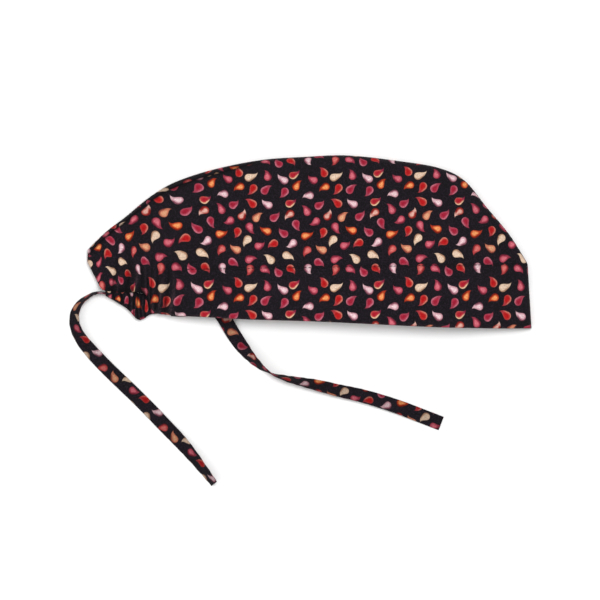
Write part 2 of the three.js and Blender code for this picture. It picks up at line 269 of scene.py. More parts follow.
@dataclass
class ClothSurface:
    """A cloth piece as plain arrays, ready to become a mesh.

    Attributes:
        points: Vertices in mm.
        quads: Four vertex numbers for each face.
        chart: Each vertex's place on the print's chart, in squares.
        inside: True for each face that shows the wrong side of the cloth.
        wear_and_painted_light: Each vertex's lightening, up to 1, from worn folded edges and painted
            highlights, and its painted shade in folds and under overhangs, down to -1.
        patch: How far each face's print is set off on the chart, where it is another piece of cloth.
    """

    points: np.ndarray
    quads: np.ndarray
    chart: np.ndarray
    inside: np.ndarray
    wear_and_painted_light: np.ndarray | None = None
    patch: np.ndarray | None = None

    def facing_out(self) -> "ClothSurface":
        """The same surface with its faces turned outwards, by the sign of the volume it closes in."""
        a, b, c, d = (self.points[self.quads[:, k]] for k in range(4))
        volume = (a * (np.cross(b, c) + np.cross(c, d))).sum()
        if volume < 0.0:
            self.quads = self.quads[:, ::-1].copy()
        return self

    def to_object(self, name: str, sharp_degrees: float = 55.0) -> bpy.types.Object:
        """Makes the mesh, with the cloth's UV map and the drops as a corner attribute.

        Args:
            name: The piece's name.
            sharp_degrees: Edges sharper than this keep a crisp corner.

        Returns:
            The new object, in the scene and at the origin.
        """
        mesh = bpy.data.meshes.new(name)
        count = len(self.quads)
        mesh.vertices.add(len(self.points))
        mesh.vertices.foreach_set("co", (self.points * MM).astype(np.float32).ravel())
        mesh.loops.add(4 * count)
        mesh.loops.foreach_set("vertex_index", self.quads.astype(np.int32).ravel())
        mesh.polygons.add(count)
        mesh.polygons.foreach_set("loop_start", np.arange(0, 4 * count, 4, dtype=np.int32))
        mesh.polygons.foreach_set("use_smooth", np.ones(count, dtype=bool))
        mesh.update(calc_edges=True)
        corners = self.chart[self.quads]
        if self.patch is not None:
            corners = corners + self.patch[:, None, :]
        drops = PRINT.face_drops(corners)
        drops[..., 2] += WRONG_SIDE * self.inside[:, None]
        drop = mesh.attributes.new("drop", "FLOAT_VECTOR", "CORNER")
        drop.data.foreach_set("vector", drops.astype(np.float32).ravel())
        uv = mesh.uv_layers.new(name="cloth")
        uv.data.foreach_set("uv", corners.astype(np.float32).ravel())
        wear_and_painted_light = self.wear_and_painted_light if self.wear_and_painted_light is not None else np.zeros(len(self.points))
        worn_and_painted_light = mesh.attributes.new("wear_and_painted_light", "FLOAT", "POINT")
        worn_and_painted_light.data.foreach_set("value", wear_and_painted_light.astype(np.float32).ravel())
        self._weld(mesh)
        mesh.set_sharp_from_angle(angle=math.radians(sharp_degrees))
        piece = bpy.data.objects.new(name, mesh)
        bpy.context.scene.collection.objects.link(piece)
        return piece

    @staticmethod
    def _weld(mesh: bpy.types.Mesh) -> None:
        """Joins points that coincide, which closes seams and poles; the print stays with the corners."""
        work = bmesh.new()
        work.from_mesh(mesh)
        bmesh.ops.remove_doubles(work, verts=work.verts, dist=WELD * MM)
        work.to_mesh(mesh)
        work.free()


def grid_quads(rows: int, columns: int, start: int = 0) -> np.ndarray:
    """Faces of a grid whose vertices are numbered row by row from start."""
    i, j = np.meshgrid(np.arange(rows - 1), np.arange(columns - 1), indexing="ij")
    a = (start + i * columns + j).ravel()
    return np.stack([a, a + columns, a + columns + 1, a + 1], axis=1)


def walled(
    outer: np.ndarray,
    inner: np.ndarray,
    outer_chart: np.ndarray,
    inner_chart: np.ndarray,
    wear_and_painted_light: np.ndarray,
    patch: np.ndarray | None = None,
) -> ClothSurface:
    """The closed wall between two grids of the same size, joined all round their border.

    Args:
        outer: Grid of points on the right side of the cloth.
        inner: Grid of points on its wrong side.
        outer_chart: Places of the outer grid on the print.
        inner_chart: Places of the inner grid on the print.
        wear_and_painted_light: Lightening of the outer grid from worn edges and painted highlights; where
            negative, painted shade in folds and under overhangs.
        patch: How far the print of the outer faces is set off on the chart.

    Returns:
        The surface, facing outwards.
    """
    rows, columns = outer.shape[:2]
    count = rows * columns
    index = np.arange(count).reshape(rows, columns)
    ring = np.concatenate([index[0, :-1], index[:-1, -1], index[-1, :0:-1], index[:0:-1, 0]])
    ahead = np.roll(ring, -1)
    border = np.stack([ring, ahead, ahead + count, ring + count], axis=1)
    front = grid_quads(rows, columns)
    back = grid_quads(rows, columns, count)[:, ::-1]
    quads = np.concatenate([front, back, border])
    patches = np.zeros((len(quads), 2))
    if patch is not None:
        patches[: len(front)] = patch
    return ClothSurface(
        points=np.concatenate([outer.reshape(-1, 3), inner.reshape(-1, 3)]),
        quads=quads,
        chart=np.concatenate([outer_chart.reshape(-1, 2), inner_chart.reshape(-1, 2)]),
        inside=np.repeat([False, True, False], [len(front), len(back), len(border)]),
        wear_and_painted_light=np.concatenate([wear_and_painted_light.ravel(), wear_and_painted_light.ravel()]),
        patch=patches,
    ).facing_out()


def tube(
    rings: np.ndarray, chart: np.ndarray, wear_and_painted_light: np.ndarray | None = None, patch: np.ndarray | None = None
) -> ClothSurface:
    """A closed tube through rings, each end drawn in to a point at its middle.

    The first side is repeated as the last, so that the print has a seam there.

    Args:
        rings: Points, one row for each ring, the first point of a ring not repeated.
        chart: Places of the points on the print, with one more column than rings.
        wear_and_painted_light: Lightening of the points from worn edges and painted highlights; where
            negative, painted shade in folds and under overhangs; one row for each ring.
        patch: How far the print is set off on the chart, one row for each side of the tube.

    Returns:
        The surface, facing outwards.
    """
    wear_and_painted_light = np.zeros(rings.shape[:2]) if wear_and_painted_light is None else np.broadcast_to(wear_and_painted_light, rings.shape[:2])
    rings, wear_and_painted_light, chart = (np.concatenate([a[:1], a, a[-1:]]) for a in (rings, wear_and_painted_light, chart))
    rings[0] = rings[1].mean(axis=0)
    rings[-1] = rings[-2].mean(axis=0)
    closed, wear_and_painted_light = (np.concatenate([a, a[:, :1]], axis=1) for a in (rings, wear_and_painted_light))
    quads = grid_quads(*closed.shape[:2])
    return ClothSurface(
        points=closed.reshape(-1, 3),
        quads=quads,
        chart=chart.reshape(-1, 2),
        inside=np.zeros(len(quads), bool),
        wear_and_painted_light=wear_and_painted_light.ravel(),
        patch=None if patch is None else np.tile(patch, (len(quads) // len(patch), 1)),
    ).facing_out()


@dataclass(frozen=True)
class Section:
    """A section across the cap, from its lower edge to the centre seam, with two heights of the cloth."""

    edge_x: float
    edge_y: float
    seam_x: float
    seam_y: float
    crown: float
    rim: float


SECTIONS = (
    Section(-155.0, -14.2, -155.0, -5.8, crown=15, rim=12),
    Section(-150.2, -23.6, -148.8, 0.5, crown=17, rim=12),
    Section(-144.2, -33.2, -139.7, 8.9, crown=20, rim=13),
    Section(-134.1, -35.4, -128.5, 17.3, crown=22, rim=13),
    Section(-115.0, -36.6, -113.8, 29.6, crown=24, rim=13),
    Section(-108.6, -48.6, -101.9, 37.6, crown=25, rim=14),
    Section(-96.3, -51.3, -92.0, 42.5, crown=26, rim=15),
    Section(-76.7, -52.3, -68.3, 50.2, crown=27, rim=19),
    Section(-41.7, -54.1, -33.3, 57.2, crown=28, rim=24),
    Section(-6.7, -55.1, -2.5, 59.4, crown=29, rim=27),
    Section(24.9, -56.4, 24.9, 60.4, crown=29, rim=28),
    Section(63.4, -58.3, 62.0, 56.5, crown=29, rim=28),
    Section(94.9, -59.7, 91.4, 51.3, crown=28, rim=27),
    Section(115.9, -60.1, 106.8, 43.9, crown=27, rim=26),
    Section(133.4, -60.4, 123.6, 24.0, crown=26, rim=25),
    Section(146.0, -60.4, 139.0, 5.4, crown=25, rim=24),
    Section(155.0, -60.4, 152.3, -15.6, crown=24, rim=23),
)


@dataclass(frozen=True)
class Fold:
    """A soft fold from one place to another: a ridge of that height, or a valley if it is negative."""

    from_x: float
    from_y: float
    to_x: float
    to_y: float
    height: float
    spread: float


FOLDS = (
    Fold(-112, -30, -84, 34, height=2.2, spread=8),
    Fold(-100, -34, -52, 14, height=-2.4, spread=9),
    Fold(-128, -30, -126, 6, height=-1.8, spread=6),
    Fold(-96, -44, -30, -26, height=1.6, spread=8),
    Fold(40, -52, 96, 18, height=-1.6, spread=20),
    Fold(-149, -26, -108, -31, height=2.6, spread=4.0),
    Fold(-147, -19, -110, -24, height=-1.8, spread=2.6),
    Fold(-118, -18, -92, -6, height=-1.2, spread=4),
)


@dataclass(frozen=True)
class SlackWave:
    """A long low wave in cloth that has been laid down: its height, its turns for each mm and its start."""

    height: float
    along: float
    across: float
    start: float


SLACK_WAVES = (
    SlackWave(0.42, along=0.105, across=0.052, start=0.7),
    SlackWave(0.34, along=0.061, across=-0.148, start=2.1),
    SlackWave(0.22, along=0.208, across=0.117, start=4.0),
    SlackWave(0.16, along=0.151, across=-0.255, start=1.2),
)


@dataclass
class PlanGrid:
    """Places of a grid over the cap in plan, with their distances from its edges, all in mm."""

    row: np.ndarray
    share: np.ndarray
    x: np.ndarray
    y: np.ndarray
    from_edge: np.ndarray
    from_seam: np.ndarray
    from_front: np.ndarray
    from_back: np.ndarray
    from_sewn: np.ndarray


@dataclass(frozen=True)
class CapForm:
    """The form in which the cap lies: both side panels as heights over the same sections, in mm."""

    seam_height: float = 4.5
    seam_gap: float = 0.7
    upper_roll: float = 3.6
    lower_roll: float = 6.0
    seam_reach: float = 62.0
    front_reach: float = 70.0
    back_reach: float = 48.0
    shut_to: float = 1.5
    open_from: float = 2.4
    hem_depth: float = 40.0
    hem_start: float = 6.25
    gather_from: float = 2.1
    gather_to: float = 6.45
    gather_pleats: float = 9.0
    gather_height: float = 2.3
    pleat_cloth: float = 0.5
    lip_drop: float = 6.0
    lip_reach: float = 7.0
    lip_cloth: float = 2.6
    seam_shift: float = 4.6
    stitch_back_y: float = -19.6
    stitch_front_y: float = -15.8

    @property
    def last(self) -> int:
        """Number of the front section."""
        return len(SECTIONS) - 1

    def edge(self, row: np.ndarray) -> np.ndarray:
        """Places of the lower edge at rows."""
        return catmull_rom(np.array([(s.edge_x, s.edge_y) for s in SECTIONS]), row)

    def seam(self, row: np.ndarray) -> np.ndarray:
        """Places of the centre seam at rows."""
        return catmull_rom(np.array([(s.seam_x, s.seam_y) for s in SECTIONS]), row)

    def rows_every(self, step: float, start: float, end: float = 5.0) -> np.ndarray:
        """Rows from start to the front, about step mm apart along the middle of the cap."""
        fine = np.linspace(start, self.last, 800)
        middle = 0.5 * (self.edge(fine) + self.seam(fine))
        run = np.concatenate([[0.0], np.cumsum(np.linalg.norm(np.diff(middle, axis=0), axis=1))])
        return np.interp(crowded_run(run[-1], step, end, 9), run, fine)

    def plan(self, rows: np.ndarray, shares: np.ndarray, inset: float) -> PlanGrid:
        """Places over the sections: share of the way from the lower edge to the seam.

        Args:
            rows: Section numbers, one for each line of the grid.
            shares: From 0 at the lower edge to 1 at the seam, for all lines or for each.
            inset: Distance that the grid keeps inside the seam, the front and the back.

        Returns:
            The grid, with the distances from the sewn edges.
        """
        ends = self.edge(np.array([0.0, 1.0, self.last - 1.0, self.last]))
        back_step = inset / np.linalg.norm(ends[1] - ends[0])
        front_step = inset / np.linalg.norm(ends[3] - ends[2])
        row = back_step + (self.last - front_step - back_step) * rows / self.last
        edge, seam = self.edge(row), self.seam(row)
        length = np.linalg.norm(seam - edge, axis=1)[:, None]
        shut = 1.0 - smoothstep(row, self.shut_to, self.open_from)[:, None]
        shares = np.broadcast_to(shares, (len(rows), np.shape(shares)[-1]))
        from_edge = inset * shut + (length - inset - inset * shut) * shares
        place = edge[:, None, :] + (seam - edge)[:, None, :] * (from_edge / length)[..., None]
        from_shut = from_edge + (1.0 - shut) * length
        from_front = self._from_section(place, self.last)
        from_back = self._from_section(place, 0)
        from_sewn = np.minimum.reduce([length - from_edge, from_shut, from_front, from_back])
        return PlanGrid(
            row=np.broadcast_to(row[:, None], from_edge.shape),
            share=from_edge / length,
            x=place[..., 0],
            y=place[..., 1],
            from_edge=from_edge,
            from_seam=length - from_edge,
            from_front=from_front,
            from_back=from_back,
            from_sewn=from_sewn,
        )

    def _from_section(self, place: np.ndarray, row: int) -> np.ndarray:
        """Distance in plan from the line through a section's two ends."""
        edge, seam = self.edge(np.array([row]))[0], self.seam(np.array([row]))[0]
        along = (seam - edge) / np.linalg.norm(seam - edge)
        away = place - edge
        return np.abs(away[..., 0] * along[1] - away[..., 1] * along[0])

    def stitch_y(self, x: np.ndarray) -> np.ndarray:
        """Line of the hem's topstitching in plan."""
        t = np.clip((x + 96.0) / 248.0, 0.0, 1.0)
        return self.stitch_back_y + (self.stitch_front_y - self.stitch_back_y) * t

    def folds(self, grid: PlanGrid) -> np.ndarray:
        """Sum of the soft folds: each a bell across its line, dying away to its ends."""
        total = np.zeros_like(grid.x)
        for fold in FOLDS:
            start = np.array([fold.from_x, fold.from_y])
            way = np.array([fold.to_x, fold.to_y]) - start
            ahead = (grid.x - start[0]) * way[0] + (grid.y - start[1]) * way[1]
            t = np.clip(ahead / (way @ way), 0.0, 1.0)
            away = np.hypot(grid.x - start[0] - t * way[0], grid.y - start[1] - t * way[1])
            total += fold.height * np.sin(math.pi * t) * bell(away, fold.spread)
        return total

    def pleat_phase(self, grid: PlanGrid) -> tuple[np.ndarray, np.ndarray]:
        """Pleats counted along the nape, wandering a little, and how strong they are at each place."""
        t = np.clip((grid.row - self.gather_from) / (self.gather_to - self.gather_from), 0.0, 1.0)
        wander = 0.16 * np.sin(10.7 * t + 0.6) + 0.12 * np.sin(grid.from_edge / 7.0 + 9.0 * t)
        ends = smoothstep(t, 0.0, 0.15) * (1.0 - smoothstep(t, 0.90, 1.0))
        strength = ends * np.exp(-grid.from_edge / (9.0 + 17.0 * t))
        return self.gather_pleats * t + wander, strength

    def gathers(self, grid: PlanGrid) -> np.ndarray:
        """Pleats along the nape: round backs and sharp valleys, dying away from the gathered edge."""
        phase, strength = self.pleat_phase(grid)
        back = np.abs(np.cos(math.pi * phase)) ** 0.75
        return self.gather_height * strength * (2.0 * back - 1.15)

    def pleat_take_up(self, grid: PlanGrid) -> np.ndarray:
        """Cloth that the pleats take up: a wave that draws the print together in each valley."""
        phase, strength = self.pleat_phase(grid)
        return self.pleat_cloth * strength * np.sin(2.0 * math.pi * phase)

    def painted_crease_shade(self, grid: PlanGrid) -> np.ndarray:
        """Painted shade on the upper panel, 0 to 1: pleat valleys, under the nape's rolled edge, the seam
        strip, the hem groove.
        """
        phase, strength = self.pleat_phase(grid)
        valley = (1.0 - np.abs(np.cos(math.pi * phase))) ** 2.2 * np.clip(1.7 * strength, 0.0, 1.0)
        tucked = self.open_edge(grid) * (1.0 - smoothstep(grid.row, 4.2, 5.0)) * bell(grid.from_edge, 4.4)
        shift = self.seam_line(grid.x)
        seam = smoothstep(shift, 0.4, 2.0) * (0.35 + 0.6 * bell(grid.from_seam - shift, 0.8))
        seam = seam * (grid.from_seam < shift + 2.0)
        start = smoothstep(grid.x, -88.0, -70.0)
        hem = 0.45 * start * bell(grid.y - self.stitch_y(grid.x), 0.75)
        return np.clip(np.maximum.reduce([valley, tucked, seam, hem]), 0.0, 1.0)

    def pleat_glints(self, grid: PlanGrid) -> np.ndarray:
        """Painted highlight along the back of each pleat, and 0 elsewhere."""
        phase, strength = self.pleat_phase(grid)
        return 1.1 * np.abs(np.cos(math.pi * phase)) ** 18 * smoothstep(strength, 0.2, 0.6)

    def open_edge(self, grid: PlanGrid) -> np.ndarray:
        """1 along the gathered edge at the nape, 0 elsewhere."""
        return smoothstep(grid.row, 2.0, 2.6) * (1.0 - smoothstep(grid.row, 5.8, 6.5))

    def seam_line(self, x: np.ndarray) -> np.ndarray:
        """How far the centre seam lies in from the edge on the upper side, towards the back."""
        return self.seam_shift * smoothstep(-x, 10.0, 66.0) - 0.6

    def hem_line(self, grid: PlanGrid) -> np.ndarray:
        """The groove that the topstitching pulls in, with small puckers to each side of it."""
        away = grid.y - self.stitch_y(grid.x)
        start = smoothstep(grid.x, -88.0, -70.0)
        puckers = 0.16 * np.sin(grid.x * 1.15 + 0.8 * np.sin(grid.x * 0.23)) * bell(away, 5.0)
        return start * (puckers - 0.6 * bell(away, 1.0) + 0.22 * bell(np.abs(away) - 3.2, 2.0))

    def slack(self, grid: PlanGrid) -> np.ndarray:
        """Slight unevenness of the cloth: the sum of a few long sine waves across each other."""
        return sum(w.height * np.sin(w.along * grid.x + w.across * grid.y + w.start) for w in SLACK_WAVES)

    def upper(self, grid: PlanGrid, inset: float, pleated: bool = True) -> np.ndarray:
        """Heights of the upper panel: the roll at the seam, the rise to full height, and the relief.

        Args:
            grid: Places in plan.
            inset: Distance inside the panel's outer face.
            pleated: Whether the gathers and the rolled edge at the nape and the stitched groove are in it.

        Returns:
            The height at each place, in mm.
        """
        heights = np.array([(s.crown, s.rim) for s in SECTIONS], float)
        crown, rim = np.moveaxis(catmull_rom(heights, grid.row), -1, 0)
        full = rim + (crown - rim) * smoothstep(grid.share, 0.0, 0.6)
        radius = self.upper_roll - inset
        roll = radius * quarter_round((grid.from_sewn - inset) / radius)
        climb = (
            ease_out(grid.from_seam / self.seam_reach)
            * ease_out(grid.from_front / self.front_reach)
            * ease_out(grid.from_back / self.back_reach)
        )
        relief = self.folds(grid) + self.slack(grid)
        if pleated:
            relief = relief + self.gathers(grid)
        relief = relief * ease_out(grid.from_sewn / 30.0)
        if pleated:
            relief = relief + self.hem_line(grid) * ease_out(grid.from_sewn / 4.0)
        shift = self.seam_line(grid.x)
        relief = relief - 0.55 * smoothstep(shift, 0.6, 2.5) * bell(grid.from_seam - shift, 0.75)
        rise = (full - self.seam_height - self.upper_roll) * climb
        height = self.seam_height + self.seam_gap / 2.0 + roll + rise + relief
        if not pleated:
            return height
        lip = self.lip_drop * self.open_edge(grid)
        return height - lip * (1.0 - quarter_round(grid.from_edge / self.lip_reach))

    def lower(self, grid: PlanGrid, inset: float) -> np.ndarray:
        """Heights of the lower panel: flat on the surface, rolled up to the seam at its edge."""
        edge_height = self.seam_height - self.seam_gap / 2.0 - inset
        groove = 0.55 * smoothstep(grid.x, -100.0, -88.0) * bell(grid.y - self.stitch_y(grid.x), 0.9)
        groove = groove * ease_out(grid.from_sewn / 8.0)
        roll = 1.0 - quarter_round((grid.from_sewn - inset) / (self.lower_roll - inset))
        return inset + edge_height * roll + groove


FORM = CapForm()


def laid_out(points: np.ndarray, axis: int, middle: int) -> np.ndarray:
    """Extra length of cloth that steep places take up along an axis of a grid, counted from its middle.

    Each step adds the part of its true length that is more than a gentle slope would need.

    Args:
        points: Grid of points in mm.
        axis: 0 to count along the rows, 1 along the columns.
        middle: Index on that axis where the count is 0.

    Returns:
        The extra length at each point, negative before the middle.
    """
    step = np.diff(points, axis=axis)
    flat = np.hypot(step[..., 0], step[..., 1])
    true = np.linalg.norm(step, axis=-1)
    extra = np.cumsum(np.maximum(0.0, true - GENTLE * flat), axis=axis)
    extra = np.concatenate([np.zeros_like(np.take(extra, [0], axis=axis)), extra], axis=axis)
    return extra - np.take(extra, [middle], axis=axis)


@dataclass(frozen=True)
class ClothLie:
    """How the print lies at a distance along the cap: moved along and up, in mm, and turned, in radians."""

    x: float
    along: float
    up: float
    turn: float = 0.0


CLOTH_LIE = (
    ClothLie(-154.0, along=-6.0, up=0.5, turn=0.50),
    ClothLie(-139.0, along=-2.4, up=-0.8, turn=0.44),
    ClothLie(-117.0, along=3.6, up=-4.0, turn=0.18),
    ClothLie(-106.0, along=3.6, up=-4.8, turn=0.10),
    ClothLie(-91.0, along=2.2, up=-4.6, turn=0.03),
    ClothLie(-73.0, along=-0.6, up=-2.8),
    ClothLie(-52.0, along=0.0, up=-0.8),
    ClothLie(-10.0, along=0.0, up=0.0),
    ClothLie(80.0, along=1.4, up=-2.0),
    ClothLie(154.0, along=2.4, up=-2.2),
)


class Side(IntEnum):
    """The two side panels, by the side of the wearer's head."""

    RIGHT = 0
    LEFT = 1


@dataclass
class SidePanel:
    """One half of the crown: a thin wall of printed cotton over the sections."""

    side: Side
    cloth: float = 1.0
    step: float = 1.15
    rim_round: float = 1.3
    turn_x: float = -127.0
    turn_y: float = -4.2
    lie_from: float = -40.0
    lie_span: float = 50.0
    lie_least: float = -0.3
    left_along: float = 21.0
    left_up: float = 34.0
    beyond_seam: tuple[float, float] = (31.0, 47.0)

    @property
    def node(self) -> str:
        """Name of the frame's node that this panel replaces."""
        return "right_side_panel" if self.side is Side.RIGHT else "left_side_panel"

    def _face(self, rows: np.ndarray, shares: np.ndarray, inset: float) -> tuple[np.ndarray, PlanGrid]:
        """One face of the wall, inset from the outer one, with its grid in plan."""
        grid = FORM.plan(rows, shares, inset)
        if self.side is Side.RIGHT:
            z = FORM.upper(grid, inset)
            edge = smoothstep(grid.row, 5.9, 6.3) * (1.0 - quarter_round(grid.from_edge / self.rim_round))
            z = z - 0.8 * edge * (1.0 if inset == 0.0 else 0.0)
        else:
            z = FORM.lower(grid, inset)
        return np.stack([grid.x, grid.y, z], axis=-1), grid

    def _chart(self, face: np.ndarray, grid: PlanGrid, inset: float) -> np.ndarray:
        """Places on the print: the plan as the cloth lies, plus what pleats and steep places take up."""
        middle_row = int(np.argmin(np.abs(grid.x[:, 0])))
        if self.side is Side.RIGHT:
            face = np.stack([grid.x, grid.y, FORM.upper(grid, inset, pleated=False)], axis=-1)
        x = grid.x + laid_out(face, 0, middle_row)
        y = grid.y + laid_out(face, 1, 0)
        if self.side is Side.LEFT:
            return PRINT.squares(self.left_along - x, y + self.left_up)
        at = [lie.x for lie in CLOTH_LIE]
        turn = np.interp(grid.x, at, [lie.turn for lie in CLOTH_LIE])
        off_x, off_y = grid.x - self.turn_x, grid.y - self.turn_y
        plan_x = self.turn_x + np.cos(turn) * off_x + np.sin(turn) * off_y
        plan_y = self.turn_y - np.sin(turn) * off_x + np.cos(turn) * off_y
        along = np.interp(plan_x, at, [lie.along for lie in CLOTH_LIE]) + plan_x - grid.x
        share = np.clip((plan_y - self.lie_from) / self.lie_span, self.lie_least, 1.0)
        up = np.interp(plan_x, at, [lie.up for lie in CLOTH_LIE]) * share
        up = up + plan_y - grid.y + FORM.lip_cloth * FORM.open_edge(grid)
        return PRINT.squares(x + along + FORM.pleat_take_up(grid), y + up)

    def _patch(self, grid: PlanGrid) -> np.ndarray:
        """Sets off the print of the faces beyond the seam, which belong to the other panel."""
        past = grid.from_seam - FORM.seam_line(grid.x)
        past = (past[:-1, :-1] + past[1:, :-1] + past[1:, 1:] + past[:-1, 1:]).ravel()
        return np.where((past < 0.0)[:, None], np.array(self.beyond_seam), 0.0)

    def build(self) -> bpy.types.Object:
        rows = FORM.rows_every(self.step, 0.0)
        shares = crowded_run(115.0, self.step, 6.0, 12) / 115.0
        outer, outer_grid = self._face(rows, shares, 0.0)
        inner, inner_grid = self._face(rows, shares, self.cloth)
        rim_edge = smoothstep(outer_grid.row, 2.0, 2.6) * bell(outer_grid.from_edge, 0.8)
        wear_and_painted_light = np.maximum(bell(outer_grid.from_sewn, 0.7), rim_edge)
        patch = None
        if self.side is Side.RIGHT:
            patch = self._patch(outer_grid)
            # Upper panel: painted shade in the pleat valleys, under the rolled edge at the nape, along the
            # seam strip and the hem groove, and painted highlights on the pleat backs; worn lightening is
            # cleared where that shade is strong.
            painted_shade = FORM.painted_crease_shade(outer_grid)
            wear_and_painted_light = wear_and_painted_light * (1.0 - FORM.open_edge(outer_grid)) * (painted_shade < 0.5)
            wear_and_painted_light = wear_and_painted_light - painted_shade + FORM.pleat_glints(outer_grid)
        surface = walled(
            outer,
            inner,
            self._chart(outer, outer_grid, 0.0),
            self._chart(inner, inner_grid, self.cloth),
            wear_and_painted_light,
            patch,
        )
        piece = surface.to_object(f"{self.node}_cloth")
        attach(piece, "root")
        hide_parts(self.node)
        return piece


@dataclass
class CentreSeam:
    """The seam that joins the side panels: a fine roll of their sewn edges, sunk between them."""

    radius: float = 0.62
    inset: float = 0.75

    def build(self) -> bpy.types.Object:
        """Makes the roll: a round tube up the back, over the crown and down the front."""
        ends = np.linspace(0.0, 1.0, 60)
        rows = FORM.rows_every(1.0, 0.0)
        runs = [
            FORM.plan(np.array([0.0]), ends[None, :], self.inset),
            FORM.plan(rows, np.array([1.0]), self.inset),
            FORM.plan(np.array([float(FORM.last)]), ends[None, ::-1], self.inset),
        ]
        plan = np.concatenate([np.stack([r.x.ravel(), r.y.ravel()], axis=1) for r in runs])
        plan = plan[np.concatenate([[True], np.linalg.norm(np.diff(plan, axis=0), axis=1) > 0.15])]
        middle = np.column_stack([plan, np.full(len(plan), FORM.seam_height)])
        forward = np.gradient(middle, axis=0)
        forward /= np.linalg.norm(forward, axis=1, keepdims=True)
        out = np.cross(forward, UP)
        turn = np.linspace(0.0, 2.0 * math.pi, 10, endpoint=False)
        run = np.concatenate([[0.0], np.cumsum(np.linalg.norm(np.diff(middle, axis=0), axis=1))])
        pull = self.radius * (1.0 - 0.12 * np.cos(run * 2.0 * math.pi / 2.4))[:, None, None]
        rings = middle[:, None, :] + pull * (
            out[:, None, :] * np.cos(turn)[None, :, None] + UP * np.sin(turn)[None, :, None]
        )
        chart = PRINT.squares(*np.broadcast_arrays(run[:, None], np.linspace(0.0, 4.0, 11)[None, :] + 9.0))
        piece = tube(rings, chart, np.full(rings.shape[:2], 0.3)).to_object("centre_seam_roll")
        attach(piece, "root")
        return piece


@dataclass
class RimHem:
    """The hem turned in around the rim, one strip from the nape round the front and back."""

    cloth: float = 1.0
    gap: float = 0.15
    panel_cloth: float = 1.0
    step: float = 1.6

    def build(self) -> bpy.types.Object:
        rows = FORM.rows_every(self.step, FORM.hem_start)
        depth = np.linspace(0.0, FORM.hem_depth, round(FORM.hem_depth / self.step))
        length = np.linalg.norm(FORM.seam(rows) - FORM.edge(rows), axis=1)[:, None]
        shares = depth[None, :] / length

        def face(inset: float) -> np.ndarray:
            """Along the upper panel to the front and back along the lower one."""
            grid = FORM.plan(rows, shares, inset)
            high = np.stack([grid.x, grid.y, FORM.upper(grid, inset)], axis=-1)
            low = np.stack([grid.x, grid.y, FORM.lower(grid, inset)], axis=-1)
            return np.concatenate([high, low[::-1]])

        against = self.panel_cloth + self.gap
        touching, showing = face(against), face(against + self.cloth)
        run = np.concatenate([[0.0], np.cumsum(np.linalg.norm(np.diff(showing[:, 0], axis=0), axis=1))])
        chart = PRINT.squares(*np.broadcast_arrays(run[:, None], depth[None, :]))
        wear_and_painted_light = np.broadcast_to(bell(depth, 0.8)[None, :], showing.shape[:2])
        surface = walled(showing, touching, chart, chart, wear_and_painted_light)
        piece = surface.to_object("rim_hem_cloth")
        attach(piece, "root")
        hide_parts("rim_hem")
        return piece


@dataclass(frozen=True)
class CasingSection:
    """A section of the nape casing: its outer and its tucked-in edge in plan, and its half height."""

    x: float
    outer_y: float
    inner_y: float
    half_height: float


CASING_SECTIONS = (
    CasingSection(-142.2, -37.8, -33.8, half_height=3.6),
    CasingSection(-137.6, -40.4, -33.6, half_height=3.4),
    CasingSection(-132.6, -43.4, -34.0, half_height=3.2),
    CasingSection(-127.6, -46.6, -34.6, half_height=3.1),
    CasingSection(-124.0, -50.2, -35.0, half_height=3.1),
    CasingSection(-121.2, -53.4, -35.3, half_height=3.1),
    CasingSection(-118.4, -54.6, -35.8, half_height=3.1),
    CasingSection(-115.4, -53.6, -36.3, half_height=3.1),
    CasingSection(-112.2, -51.2, -37.0, half_height=3.0),
    CasingSection(-107.0, -50.2, -38.6, half_height=3.0),
    CasingSection(-101.6, -50.6, -41.6, half_height=2.9),
    CasingSection(-97.0, -50.8, -43.0, half_height=2.8),
)


